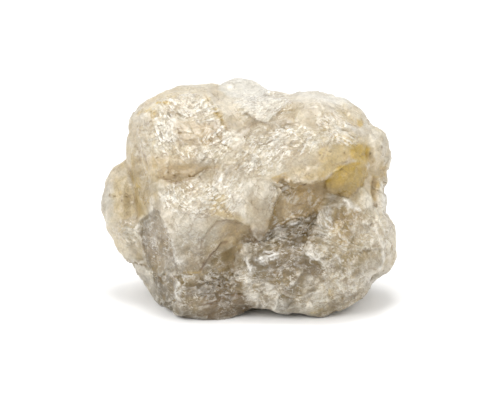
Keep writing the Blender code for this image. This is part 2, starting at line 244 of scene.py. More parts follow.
# Cracks: places (x, u) on the drawing, then depth, width and how brown the crack is.
CRACKS = {
    "under_left_crown": ([(-18, 28.4), (-16, 27.9), (-14.5, 27.4), (-12.5, 27.9), (-10.3, 28.9), (-8.5, 30),
        (-5.7, 30.3)], 0.14, 0.2, 0.75),
    "left_lobe_joint": ([(-25, 32), (-23.6, 28), (-22.6, 22), (-21.8, 18), (-20.2, 11)], 0.06, 0.3, 0.3),
    "left_stain": ([(-22.8, 34.6), (-20.7, 33), (-20, 30.2)], 0.1, 0.2, 0.6),
    "crown_rim": ([(-1, 42), (0.5, 40.6), (2.3, 39.5), (3.8, 39.4), (5, 40.2), (7.3, 42.9)],
        0.08, 0.2, 0.35),
    "lip": ([(8.6, 27.7), (11, 27.1), (13, 27.2), (15.5, 28), (16.8, 28.9)], 0.14, 0.25, 0.5),
    "drop_edge": ([(15, 27.2), (15.7, 25.7), (17, 25.1), (20.3, 24.6), (21.8, 25.8), (23, 27.2)],
        0.22, 0.3, 0.7),
    "tongue_tip": ([(0.1, 18.6), (0.8, 17.3), (2, 15.6)], 0.4, 0.3, 0.9),
    "leaf": ([(-9.6, 10), (-7.5, 13), (-5.5, 15.1), (-4.3, 15.7)], 0.15, 0.35, 0.95),
    "upper_leaf": ([(-9.3, 14.6), (-9, 16.2), (-7.6, 17.7), (-6, 19.6), (-4, 19.9), (-1, 19.4)],
        0.2, 0.3, 0.35),
    "face_left": ([(14.9, 24.5), (14.3, 21), (12.7, 17.2), (11.1, 13.6)], 0.08, 0.3, 0.3),
    "right_joint": ([(25.2, 28.8), (25, 26), (25.3, 23), (25.4, 20), (27, 17), (27.8, 13)], 0.06, 0.3, 0.4),
    "jag": ([(4.1, 17.3), (6.2, 18.7), (9.5, 20.1), (11, 19.9), (14.2, 22)], 0.2, 0.3, 0.3),
    "skirt_edge": ([(15.4, 8), (13.2, 7), (12.6, 5), (11.5, 3)], 0.2, 0.3, 0.2),
    "recess_seam": ([(8.6, 22.5), (9.7, 22.7), (10.8, 23.1), (11.9, 23.8)], 0.1, 0.2, 0.7),
    "recess_fold": ([(6.9, 20.6), (8, 21.2), (9, 21.4), (9.9, 21.9)], 0.1, 0.2, 0.6),
    "lobe_foot": ([(-25.6, 12.2), (-24, 11.5), (-22.6, 11.3), (-20.6, 10.6)], 0.15, 0.25, 0.5),
    "pebble": ([(-0.2, 35.2), (-0.3, 37), (0.6, 38.5), (2, 39.2), (3.8, 39), (5, 37.8), (5.6, 36.6),
        (5, 35.8), (3.8, 35), (2.6, 34.8), (1.2, 35.9)], 0.12, 0.22, 0.4),
    "right_arch": ([(7.3, 43), (10.5, 43.2), (14.4, 43.9), (16.3, 42.4), (17, 40.8), (18.4, 39.8)],
        0.12, 0.25, 0.3),
    "inner_arch": ([(10.6, 41), (11, 42.6), (12.4, 42.2), (14.6, 42.4)], 0.1, 0.22, 0.25),
    "diagonal": ([(-8.7, 45), (-6.4, 41.5), (-4, 38), (-5, 37.5), (-6.6, 39.2)], 0.08, 0.2, 0.4),
    "chip": ([(-5.3, 37.4), (-5.2, 35.1), (-3, 33.7), (-1.4, 34.7), (-0.2, 34.9)], 0.12, 0.22, 0.35),
    "slit": ([(-2.2, 33.4), (-4, 31.8), (-5.7, 30.3), (-6.4, 28), (-7.4, 25.4)], 0.08, 0.2, 0.3),
    "pane": ([(-0.9, 30.8), (-3, 31), (-4.8, 30.2), (-5, 28), (-3.2, 27.2), (-0.4, 28.3), (2.3, 28.6)],
        0.12, 0.22, 0.3),
    "wedge": ([(-9.8, 29), (-9, 27.9), (-8, 26.6)], 0.12, 0.2, 0.5),
    "yellow_edge": ([(17.2, 35.6), (14.1, 34.2), (14.2, 32), (13.9, 29), (14.5, 27.6)], 0.06, 0.2, 0.12),
    "yellow_seam": ([(16.2, 28.9), (17.4, 30.4), (20, 31.8), (23.6, 33.2)], 0.1, 0.22, 0.35),
    "tongue_left": ([(-0.4, 24.2), (-0.8, 22), (-0.9, 20.6)], 0.1, 0.2, 0.2),
    "tongue_right": ([(6.3, 25.6), (5.3, 23.6), (4.2, 20), (3.3, 17), (2.1, 15.6)], 0.15, 0.3, 0.3),
    "shell": ([(-12.9, 9.3), (-10.2, 9.2), (-8.8, 7.7)], 0.2, 0.25, 0.3),
    "lobe_rim": ([(-2.9, 10.6), (-2.4, 12.8), (-0.7, 15.4), (2, 15.7)], 0.1, 0.25, 0.4),
    "low_seam": ([(-9.5, 3), (-7.5, 3.4), (-5.5, 4.2), (-4.8, 4.8), (-1, 4.9)], 0.25, 0.3, 0.8),
}

# Ledges: the skin left of the line's run stands higher, by this height, and falls away over this distance.
STEPS = {
    "left_crown": ([(-5.5, 30.4), (-8.5, 29.9), (-10.3, 28.8), (-14.5, 27.3), (-18, 28.3)], 0.3, 3),
    "crown_rim": ([(-0.8, 42.2), (0.5, 40.6), (2.3, 39.6), (3.8, 39.5), (5, 40.3), (7.4, 43), (9, 43.3)],
        0.25, 2.2),
    "pebble": ([(1, 36), (2.5, 34.9), (4, 35), (5, 35.8), (5.4, 37.2)], 0.2, 1.5),
    "lip": ([(8.2, 28), (9, 27.6), (11, 27.2), (13, 27.3), (15.5, 28.1), (17, 29.4), (19.6, 31)],
        0.35, 2.5),
    "drop": ([(15, 27), (15.7, 25.8), (17.5, 25.1), (20.3, 24.7), (22.8, 27)], 0.35, 2.5),
    "left_leaf": ([(-9.7, 10), (-7.5, 13.1), (-5.5, 15.2), (-4.3, 15.8)], 0.35, 2),
    "gully_leaf": ([(-9.3, 14.6), (-9, 16.2), (-7.6, 17.7), (-6, 19.6)][::-1], 0.15, 1.6),
    "stain_shelf": ([(-7.3, 20.7), (-4.5, 20.1), (-2.5, 19.6), (-0.8, 19.4), (0.2, 18.5)], 0.35, 1.8),
    "jag": ([(4.1, 17.4), (6.3, 18.7), (7.6, 18.9), (9.5, 20.1), (11, 19.9), (14.2, 21.9)][::-1], 0.4, 1.6),
    "face": ([(14.9, 24.4), (14.3, 21), (12.8, 17.2), (11.2, 13.6), (13, 12.3), (15.7, 10.5)], 0.6, 2.4),
    "diagonal": ([(-8.7, 45), (-6.4, 41.5), (-4.6, 38), (-5, 36.5)][::-1], 0.3, 1.6),
    "chip": ([(-5, 37.9), (-5.2, 35.2), (-2.6, 33.9), (-0.4, 35.2), (-0.8, 37.3)], 0.25, 1.2),
    "wedge": ([(-9.8, 29), (-8.9, 27.4), (-7.2, 26), (-5.8, 30)], 0.25, 1.2),
    "shell": ([(-12.8, 9.3), (-10.2, 9.3), (-8.8, 7.8)][::-1], 0.35, 1.8),
    "lobe_foot": ([(-26, 12.3), (-24, 11.5), (-22.6, 11.3), (-20.6, 10.6)], 0.6, 2.5),
    "tongue": ([(6.2, 26), (5.3, 23.6), (4.2, 20), (3.3, 17), (2, 15.6), (0.7, 17.4), (0, 18.8)][::-1],
        0.4, 1.8),
    "lobe_rim": ([(-2.9, 10.6), (-2.4, 12.8), (-0.7, 15.4), (2, 15.7), (5, 15.6)][::-1], 0.3, 1.8),
    "stripe_right": ([(-17.6, 21.6), (-16.7, 19.6), (-15, 16.3), (-14.6, 12.6), (-12.9, 9.6)], 0.35, 2),
    "stripe_left": ([(-19.2, 9), (-21, 13.8), (-22, 19.4)], 0.3, 2),
    "right_wedge": ([(29.4, 20), (28, 21.1), (26.8, 22.2), (25.6, 22.9)], 0.45, 2),
}

# Places that stand out a little more, or less: (mm, patch).
NUDGES = [
    (0.5, zone(-2, 48.5, 4.5, 2)), (0.25, zone(-12, 47.8, 6, 1.5)), (0.4, zone(21, 42.5, 3, 2, -40)),
    (0.4, zone(28.5, 31.3, 1.5, 1.5)), (-0.6, zone(28.4, 26, 1.4, 1)), (-0.5, zone(28.3, 21.8, 1.4, 0.9)),
]


def cut_cracks(across, up):
    """How deep the cracks are, in mm, and how brown."""
    deep = np.zeros(len(across))
    brown = np.zeros(len(across))
    for points, depth, width, stain in CRACKS.values():
        share = line(points, width)(across, up)
        deep = np.maximum(deep, depth * share)
        brown = np.maximum(brown, stain * share)
    return deep, brown


def raise_ledges(across, up):
    """How far the skin stands out beside the ledges, in mm."""
    height = np.zeros(len(across))
    for points, rise, fade in STEPS.values():
        near, side = beside(points, across, up)
        from_end = np.minimum(*(np.hypot(across - x, up - u) for x, u in (points[0], points[-1])))
        step = np.where(side > 0, rise * np.exp(-near / fade * 2.0), 0.0) * (near < fade * 3.0)
        height += step * smooth_step(0.0, 1.5, from_end)
    return height


def lie_of(across):
    """1 in the middle of the stone, where flakes rise to the right, and 0 beside it, where they fall."""
    return smooth_step(-13.5, -9.5, across) * (1.0 - smooth_step(12.0, 15.0, across))


# Kinds of flakes in the skin: size in mm, seed, how each is drawn out, and its lie in degrees.
FLAKE_KINDS = {
    "slabs": (4.6, 11, (0.7, 0.7, 1.2), 25), "plates": (2.3, 12, (0.6, 0.5, 1.25), -40),
    "scales": (1.15, 13, (0.6, 0.4, 1.5), 30), "left_scales": (1.15, 14, (0.6, 0.4, 1.5), -48),
    "facets": (3.3, 15, (0.75, 0.7, 1.2), 25),
}


def relief(places, front):
    """How far the broken skin stands out, in mm; a shade for each flake; and the facets' frosted edges."""
    across, up = places[:, 0], places[:, 2]
    calm = 1.0 - 0.7 * most(SMOOTH, across, up) * front
    scaly = most(SCALY, across, up) * front
    broken = most(BROKEN, across, up) * front
    faceted = most(FACETED, across, up) * front + 0.8 * (1.0 - front)
    slabs, plates, scales, left_scales, facets = (Flakes(places, *kind) for kind in FLAKE_KINDS.values())
    lie = lie_of(across)
    height = 0.1 * swells(places, size=4.0, seed=5)[:, 0]
    height += calm * slabs.height(tilt=0.08, ramp=1.0) + faceted * facets.height(tilt=0.22, ramp=0.35)
    height += 0.3 * calm * (1.0 - 0.7 * faceted) * plates.height(tilt=0.16, ramp=0.6)
    height += (1.5 * broken + 0.8 * scaly) * plates.height(tilt=0.14, ramp=0.1)
    small = lie * scales.height(tilt=0.18, ramp=0.2, common=(0.0, 0.0, -0.06))
    small += (1.0 - lie) * left_scales.height(tilt=0.18, ramp=0.2, common=(0.08, 0.0, 0.0))
    height += (0.14 * calm * (1.0 - 0.7 * faceted) + 0.4 * scaly + 0.7 * broken) * small
    terraced = calm * smooth_step(0.0, 0.35, swells(places, size=7.0, seed=6)[:, 0])
    height += 0.5 * terraced * ledges(places, (-0.55, 0.35, 0.75), spacing=1.9, height=0.25, waver=0.9,
                                      seed=21)
    height += broken * ledges(places, (0.12, 0.3, 0.95), spacing=1.25, height=0.38, waver=0.6, seed=31)
    shade = 0.5 * plates.chance[:, 0] + 0.3 * slabs.chance[:, 0]
    shade += 0.2 * np.where(lie > 0.5, scales.chance[:, 0], left_scales.chance[:, 0])
    shade += faceted * 0.7 * (facets.chance[:, 0] - shade)
    return height, shade, faceted * (1.0 - smooth_step(0.05, 0.3, facets.edge))


def points_of(mesh, what="co"):
    """Rows of the mesh's points, or of their normals."""
    rows = np.empty(len(mesh.vertices) * 3)
    mesh.vertices.foreach_get(what, rows)
    return rows.reshape(-1, 3)


def baked(obj):
    """The mesh of obj with its modifiers applied; obj itself goes."""
    graph = bpy.context.evaluated_depsgraph_get()
    mesh = bpy.data.meshes.new_from_object(obj.evaluated_get(graph))
    bpy.data.objects.remove(obj)
    return mesh


def store(mesh, layers):
    """Keep amounts, one for each point of the mesh, under their names."""
    for name, amounts in layers.items():
        layer = mesh.attributes.new(name, "FLOAT", "POINT")
        layer.data.foreach_set("value", amounts)


def shown(mesh):
    """A new object that carries a mesh, linked to the scene."""
    obj = bpy.data.objects.new(mesh.name, mesh)
    bpy.context.scene.collection.objects.link(obj)
    return obj


def even_skin(node):
    """A copy of the node's solid, merged and given an even fine mesh."""
    bm = bmesh.new()
    bm.from_mesh(node.data)
    bmesh.ops.remove_doubles(bm, verts=bm.verts, dist=MERGED)
    mesh = bpy.data.meshes.new("stone_skin")
    bm.to_mesh(mesh)
    bm.free()
    obj = shown(mesh)
    remesh = obj.modifiers.new("even", "REMESH")
    remesh.mode = "VOXEL"
    remesh.voxel_size = SKIN_GRAIN * MM
    return baked(obj)


def toward_front(mesh):
    """1 where the skin faces the front of the drawing, 0 where it faces away."""
    facing = points_of(mesh, "normal") @ np.array(UP_RIGHT).T
    depth = -drawing_places(points_of(mesh))[:, 1]
    return smooth_step(-0.3, 0.1, -facing[:, 1]) * smooth_step(-24.0, -20.0, depth)


def break_skin(mesh):
    """Give the skin its flakes, ledges and cracks; its base stays flat."""
    points = points_of(mesh)
    normals = points_of(mesh, "normal")
    places = drawing_places(points)
    front = toward_front(mesh)
    wavered = places + 0.3 * swells(places, size=1.3, seed=41)
    height, shade, frost = relief(places, front)
    across, up = wavered[:, 0], wavered[:, 2]
    height += front * raise_ledges(across, up)
    height += front * sum(rise * patch(across, up) for rise, patch in NUDGES)
    height -= front * cut_cracks(across, up)[0]
    height = np.clip(height, DEEPEST, HIGHEST) * smooth_step(0.0, FOOT, points[:, 2] / MM)
    points += normals * height[:, None] * MM
    points[:, 2] = np.maximum(points[:, 2], 0.0)
    mesh.vertices.foreach_set("co", points.ravel())
    store(mesh, {"shade": shade, "frost": frost})
    mesh.update()


def thinned(mesh):
    """The mesh with fewer triangles on its flatter places."""
    obj = shown(mesh)
    thin = obj.modifiers.new("thin", "DECIMATE")
    thin.ratio = SKIN_FACES / sum(len(face.vertices) - 2 for face in mesh.polygons)
    return baked(obj)


# ---------------------------------------------------------------- markings
# How strongly each kind of colour lies at places of the front: (amount, patch).

# Corners (x, u) of panes that carry more than one colour.
CROWN_PANE = [(-14.5, 39.8), (-7, 38.8), (-5.5, 36), (-8, 34.8), (-13.5, 35), (-14.8, 37)]
# The band under the crown's ledge: golden-brown, and partly painted shade where it turns down from the
# light.
UNDER_CROWN_STAIN_AND_SHADE = [
    (-18, 30), (-15.5, 31.2), (-12, 30.6), (-6, 30.9), (-5.7, 30.2), (-8.5, 29.6), (-10.3, 28.6),
    (-12.5, 27.6), (-14.5, 27.2), (-18, 28.2),
]
LEFT_GULLY = [(-23.8, 30), (-21, 30), (-19.6, 27), (-19.8, 23.5), (-20.6, 20.8), (-22.2, 20.5), (-22.8, 25)]

HONEY = [
    (0.18, outline([(-19.5, 44.7), (-17, 46.6), (-12.5, 47.6), (-9, 47.4), (-8, 45.6), (-13, 45.2),
        (-15.5, 43.9), (-18.5, 44.1)], 0.8)),
    (1, line([(-18.2, 43.6), (-17, 43.3), (-15.8, 43.5)], 0.5)),
    (0.5, line([(-22.2, 41.2), (-20.9, 41.9), (-19.6, 42.4), (-19.2, 40.8), (-18.4, 41.8)], 0.7)),
    (0.45, outline([(-8.8, 45), (-7.2, 43.8), (-5, 41), (-3.8, 38), (-4.7, 38), (-6.3, 40.5), (-8.2, 43.4)],
        0.4)),
    (0.8, line([(-8.3, 44.3), (-7.6, 44.2)], 0.35)), (0.6, line([(-6.6, 41.3), (-5.3, 39.9)], 0.5)),
    (0.25, zone(20.5, 41.2, 3.4, 2.2, -35)), (0.08, zone(13, 39, 8, 4, -20)),
    (0.14, zone(11.8, 28.8, 4.5, 2)), (0.22, zone(11.8, 23.8, 3.4, 3)), (0.3, zone(-22, 30, 2.5, 2.5)),
    (0.35, zone(20, 25.4, 3, 1.8)), (0.08, zone(-21, 35, 4, 5)),
    (0.85, outline([(21.8, 40), (22.8, 40.3), (23.4, 39.6), (23.3, 38.9), (22.5, 38.6), (21.8, 39.2)])),
    (0.35, outline([(17, 37), (20, 36.4), (21.8, 37.4), (24, 36), (24.3, 34.8), (20.5, 35.1), (17.2, 35.5)],
        0.6)),
    (0.4, outline([(14.1, 34), (17.5, 35), (20.2, 35), (20, 32.8), (19, 31), (16.5, 29), (14, 28.1)])),
    (0.95, outline([(20.1, 34.4), (21, 35.1), (22.6, 35.3), (24.4, 34.4), (24.1, 32), (23.4, 31.1),
        (22.4, 31.8), (20.8, 32.2), (20, 33.2)], 0.5)),
    (0.97, outline([(16.8, 28.8), (17.6, 30.3), (19.6, 31), (22, 31.6), (23.6, 31.2), (24, 29.5),
        (22.9, 27), (21.7, 25.5), (20.4, 24.3), (17.4, 24.7), (15.3, 25.4), (14.8, 27.2)])),
    (0.35, zone(13.4, 28.2, 2.6, 0.7)), (0.45, zone(13.9, 24.6, 1.6, 3)), (0.3, zone(-2, 17.8, 3, 1.5)),
    (0.25, zone(-4.5, 13.5, 4, 3)), (0.2, zone(6.5, 21.5, 2, 3)), (0.15, zone(15, 30.5, 3, 3)),
    (0.2, zone(20, 19.5, 3.5, 3)), (0.7, line([(4.8, 28.3), (6, 28.7), (7.2, 29.4)], 0.4)),
    (0.38, outline([(-7.5, 24.6), (-5.5, 25), (-4.4, 23.2), (-3.6, 21.6), (-0.6, 20), (-3, 19.8),
        (-5, 20.4), (-7.2, 20.8), (-7.6, 22.4)], 0.5)),
    (0.45, line([(-5.2, 24.9), (-3.8, 24.5), (-4.8, 23.8)], 0.4)),
    (0.34, outline([(-26.9, 28.6), (-24.6, 28.8), (-23.2, 25), (-22.5, 21), (-25, 20), (-27.2, 21.5),
        (-27.1, 25)], 0.4)),
    (0.5, outline(LEFT_GULLY, 0.5)), (0.15, zone(-26.5, 17, 2.6, 4)), (0.8, zone(-22.1, 27, 0.5, 0.5)),
    (0.5, zone(-25.9, 25.2, 0.4, 0.4)), (0.4, zone(-27.6, 24.7, 0.7, 0.4, -20)),
    (0.7, zone(26.1, 27, 0.6, 0.9)), (0.55, line([(25.6, 28.5), (26.8, 28.8), (27.6, 29)], 0.35)),
    (0.6, zone(16.6, 5.4, 0.8, 1)), (0.6, line([(12.9, 1.2), (13.8, 1.5), (14.5, 2.1)], 0.4)),
    (0.55, line([(-12.9, 9.4), (-11, 9.5), (-9.8, 9.7)], 0.4)), (0.35, zone(12.8, 16.4, 1.2, 1.4, 60)),
    (0.15, zone(20.5, 13, 5, 3)), (0.28, zone(18.6, 20, 2, 3, 10)), (0.3, zone(-18.6, 27, 1, 4)),
    (0.3, line([(-19.2, 41.5), (-18.4, 38), (-18.9, 34), (-18.6, 30.5)], 0.8)),
    (0.15, zone(25.5, 30, 2.5, 3)), (0.3, zone(-25, 32.5, 2.5, 2.5)), (0.12, zone(7, 42, 4, 3)),
    (0.25, zone(11.5, 26, 4, 1.2)), (0.12, zone(-14.4, 32.6, 4, 2.6)), (0.2, zone(17, 5, 8, 4.5)),
    (0.07, zone(19.5, 16, 7, 8)), (0.3, zone(-20.3, 24, 0.8, 2)), (0.15, zone(27, 34, 3, 5)),
    (0.6, zone(25.3, 26.6, 0.6, 2.8)), (0.12, zone(15.5, 35.5, 7, 4)), (0.1, zone(18, 24, 7, 4)),
]
# Tan; in the band under the crown's ledge it is partly painted shade.
TAN = [
    (0.4, outline(CROWN_PANE, 0.5)), (0.45, outline(UNDER_CROWN_STAIN_AND_SHADE, 0.4)), (0.12, zone(11.8, 28.4, 4.5, 2)),
    (0.3, zone(12.6, 24.4, 3.6, 2.6)), (0.2, zone(16, 26.5, 3, 2)),
    (0.6, outline([(4.8, 28), (7.2, 29.3), (9, 27.5), (11, 27.1), (15, 27.2), (15.7, 25.7), (15, 24),
        (14.5, 21.7), (9.5, 20), (6.5, 18.8), (4, 17.4), (3, 16.2), (3.9, 19.5), (5.2, 23.6), (6.4, 25.3),
        (5.8, 26.6)])),
    (0.5, zone(11.5, 25.8, 4, 1.4)), (0.25, zone(-17, 30, 8, 2.8)), (0.3, zone(25.5, 30, 3, 3)),
    (0.4, zone(25.4, 26, 0.9, 3)), (0.15, zone(2.5, 22, 3, 5)), (0.3, zone(-2, 16.5, 4, 4)),
    (0.12, zone(5, 9, 9, 7)), (0.36, zone(19.8, 18.6, 4, 4)), (0.08, zone(21, 9, 8, 6)),
    (0.12, zone(-22, 35, 2.5, 4)), (0.15, zone(-8, 7, 9, 6)), (0.3, zone(-17.6, 15, 2.6, 6)),
]
# Dark brown stains, and painted shade: on the underside at the foot and in the band under the crown's
# ledge.
UMBER_AND_PAINTED_SHADE = [
    (0.1, zone(-12, 38, 8, 7, -20)), (0.08, zone(8, 35, 10, 6)), (0.1, zone(-12, 22, 6, 8)),
    (0.12, zone(-2, 28, 6, 4)), (0.2, zone(-22, 30, 2.5, 2.5)), (0.06, zone(9, 31, 4, 3)),
    (0.12, zone(-6.5, 30, 3, 2.6)), (0.12, zone(-1, 25, 3, 3)), (0.06, zone(-27, 22, 3, 6)),
    (0.28, zone(-18.6, 25, 3, 4)), (0.1, zone(-22, 35, 2.5, 3)), (0.1, zone(1.5, 30, 4, 2.8)),
    (0.12, zone(4, 35.5, 3, 2.6)), (0.3, zone(20, 25.4, 3, 1.8)), (0.1, zone(13, 39, 8, 4, -20)),
    (0.14, zone(6.5, 42, 3.4, 3)), (0.1, zone(1.4, 37, 4, 3)), (0.75, zone(-7.5, 6.3, 4.5, 2.5)),
    (0.5, zone(7, 11.5, 4, 3)), (0.5, zone(12, 16.8, 3, 2.6)), (0.36, zone(-19.7, 16, 2.4, 4)),
    (0.18, zone(-4, 11.5, 3, 3)), (0.3, zone(17.2, 22, 2.6, 2.6)), (0.6, zone(1.4, 16.4, 3, 1.8)),
    (0.3, zone(-3.9, 6.3, 3, 2.6)), (0.25, zone(7, 16.8, 2.6, 2.4)), (0.1, zone(-9, 13, 6, 4)),
    (0.16, outline([(-0.4, 24), (5.4, 24.8), (4.2, 20), (3.2, 17), (2, 15.7), (0.2, 18.5), (-0.8, 20.5)])),
    (0.14, outline(CROWN_PANE, 0.5)), (0.16, outline(UNDER_CROWN_STAIN_AND_SHADE)),
    (0.2, outline([(-12.9, 33), (-6, 33), (-5.6, 31), (-12, 30.8), (-14.5, 31.4)], 0.7)),
    (0.2, outline([(-4.8, 30.3), (-1, 30.6), (-0.4, 28.5), (-4.6, 27.6)])),
    (0.22, outline([(-2.3, 33.4), (-1.3, 34.7), (0.3, 33.6), (-0.5, 32)])),
    (0.16, outline([(7.3, 43), (10.5, 43.3), (11, 41.8), (8.5, 41), (5.5, 40.2), (5, 40.2)])),
    (0.22, outline([(1.2, 39.9), (5.5, 39.8), (9.5, 39.3), (10, 38.4), (6.5, 37.6), (5.2, 37.5),
        (4.2, 38.8), (2.3, 39.5), (0.3, 38.4), (-0.2, 39.6)])),
    (0.14, outline([(10.5, 43), (14.5, 44), (16.5, 42), (17, 40.5), (15.8, 40.8), (14.5, 42.6),
        (11.5, 42.4)])),
    (0.14, outline([(11, 39.5), (15, 39.2), (15.5, 37.6), (12.5, 37.8)])),
    (0.14, outline([(4.8, 28), (6.5, 28.6), (8.7, 27.4), (11, 27.1), (15, 27.2), (15.7, 25.7), (15, 24),
        (14.5, 21.7), (9.5, 20), (6.5, 18.8), (4, 17.4), (3, 16.2), (3.9, 19.5), (5.2, 23.6), (6.4, 25.3),
        (5.8, 26.6)])),
    (0.14, outline([(8, 23.3), (12, 24.2), (14.8, 23.5), (14.4, 21.7), (9.6, 20), (7.2, 20.5)], 0.5)),
    (0.18, outline([(14.6, 27.2), (17.2, 28.9), (19.6, 31), (23.8, 30.9), (23.8, 29.2), (22.8, 27),
        (20.3, 24.7), (17.5, 25.1), (15.7, 25.7)])),
    (0.12, outline([(-9.3, 14.7), (-9.1, 16), (-7.7, 17.7), (-6, 19.6), (-4.3, 20), (-4.2, 18.3),
        (-5, 16.4), (-4.6, 15.6), (-6.5, 14.3), (-8, 13)])),
    (0.38, outline([(-4.3, 20), (-1.2, 19.5), (0.2, 18.6), (0.5, 17.5), (1.8, 15.7), (-1.2, 15.4),
        (-2.1, 15.2), (-2.5, 16.5), (-5, 16.5), (-4, 18.5)])),
    (0.26, outline([(-4.8, 15.7), (-2.2, 15.3), (-2, 14), (-3, 12), (-4.2, 10), (-5, 10.2), (-6.6, 11.6),
        (-5.2, 13.5)])),
    (0.5, outline([(-8.2, 12.6), (-5, 15.3), (-6.7, 12), (-7.1, 11.3), (-9.5, 9.9), (-9.8, 10)])),
    (0.12, outline([(-12.7, 12.5), (-12.8, 15), (-9.5, 14.9), (-9.2, 14), (-7.8, 13), (-9.5, 10.2),
        (-12.7, 10)])),
    (0.24, outline(LEFT_GULLY, 0.5)),
    (1, outline([(-5.2, 4.6), (-3.5, 5.4), (-1, 5.2), (-1.2, 4.5), (-3, 4.3), (-5.2, 3.2), (-5.5, 2.5)])),
    # This patch and the next paint shade on the underside at the foot.
    (0.4, outline([(-5, 4.5), (-0.5, 4), (1, 2.5), (-3, 1.3), (-6, 1.5), (-9.5, 2), (-9.5, 3), (-6, 4)])),
    (0.9, outline([(-13.5, 0.3), (-9.5, 1), (-5.5, 1.6), (-2, 1.6), (1.8, 2.8), (0.2, 1.2), (-3, -0.4),
        (-7, -1.4), (-13, -1)], 0.5)),
    (0.48, outline([(10, 12), (12, 12.5), (13.8, 11), (15.2, 9.7), (14.9, 7.7), (13, 7.3), (12.6, 8.8),
        (10.2, 10.5)])),
    (0.38, outline([(7, 17.5), (9.5, 19.5), (13.8, 21.4), (14, 20), (12.7, 17), (11.2, 15), (10.9, 13.5),
        (8.5, 13.8), (7.8, 16)], 0.4)),
    (0.1, outline([(7.5, 10), (9.5, 10.5), (12, 8.7), (13, 7), (12.5, 5), (11.5, 3), (8.3, 3), (7.8, 5),
        (7.8, 7.5)])),
    (0.5, outline([(16, 3.2), (19, 4.3), (21.9, 5), (21.5, 4), (20.5, 3), (18.5, 2.3), (17, 1.8)])),
    # The first two patches below paint shade on the underside at the foot.
    (0.7, zone(-3, 2.6, 7, 3)), (0.35, zone(-4, 0.6, 8, 1.6)), (0.12, zone(-4, 36.5, 5, 4)),
    (0.12, zone(4, 21, 3, 5)), (0.12, zone(19.5, 20, 4.5, 4)), (0.15, zone(15, 24.5, 2.5, 2.5)),
    (0.55, zone(25.3, 26.5, 0.6, 2)), (0.5, zone(25.7, 23, 0.5, 0.4)),
    (0.6, line([(8.3, 2.1), (9.4, 2.1)], 0.35)), (0.25, zone(21, 19.5, 3.4, 2.4, -20)),
    (0.35, zone(17.2, 25, 2.4, 1.4)), (0.3, zone(-16.9, 14, 2.4, 3, 30)),
]
# Grey; the first patch makes the whole lower front greyer and darker towards the bottom.
GREY = [
    (0.55, zone(0, 2, 34, 16)), (0.06, zone(-0.5, 46.8, 5, 3)), (0.12, zone(-12.5, 18, 4, 4)),
    (0.06, outline([(-24.8, 40), (-22, 42), (-20, 38), (-20, 31), (-25, 32)], 0.8)),
    (0.8, outline([(-22, 19.5), (-18.5, 22.5), (-17.3, 21.5), (-16.8, 19.5), (-15, 16.4), (-14.7, 12.5),
        (-13, 9.5), (-14.5, 6), (-18.8, 6), (-19.2, 9.5), (-21, 13.8)])),
    (0.74, outline([(-19.2, 9), (-15, 9.2), (-13.8, 5.5), (-13.8, -1), (-17, 1), (-18.8, 5)])),
    (0.62, outline([(-14, 9), (-12.8, 7.6), (-8.8, 7.4), (-8.2, 9.6), (-4, 9.8), (-0.8, 8.5), (-0.8, 5),
        (0.5, 2.8), (-3, -1), (-14, -1)])),
    (0.73, outline([(-2.8, 11), (-2, 14.6), (-0.5, 15.4), (8.5, 15.8), (11, 13.6), (15.6, 10.4),
        (15.3, 7.7), (13.1, 7.2), (12.6, 5), (11.4, 2.6), (3, 2.4), (0, 3.4), (-0.8, 8)], 0.4)),
    (0.7, outline([(0.6, 11.4), (2.5, 12), (5, 11.8), (6.6, 11), (6.6, 9.6), (5, 8.9), (3, 8.7),
        (1.4, 9.5)], 0.5)),
    (0.6, outline([(4, 17.4), (6.5, 18.9), (9.5, 20.1), (14.2, 21.9), (14, 20), (12.7, 17), (11.2, 15),
        (11, 13.5), (8.5, 13.6), (3.4, 16)])),
    (0.28, outline([(15, 24.5), (17, 25), (20.2, 24.6), (22.5, 22), (24.9, 22.2), (25, 19.7), (26.3, 16),
        (27, 13), (26.7, 10.6), (24, 9), (20, 8.5), (15.7, 10.5), (11.2, 13.6), (12.9, 17.2),
        (14.3, 20.5)])),
    (0.1, outline([(17.5, 22), (21, 21.8), (24.5, 19), (24.5, 16), (22, 14.5), (19, 15), (17.3, 18)], 0.8)),
    (0.1, zone(-5, 13, 3, 3)), (0.16, zone(-29.5, 22, 2.2, 4)), (0.25, zone(21.5, 6.5, 4, 2.4, 30)),
    (0.15, zone(-12, 15.5, 4, 2.5)),
]
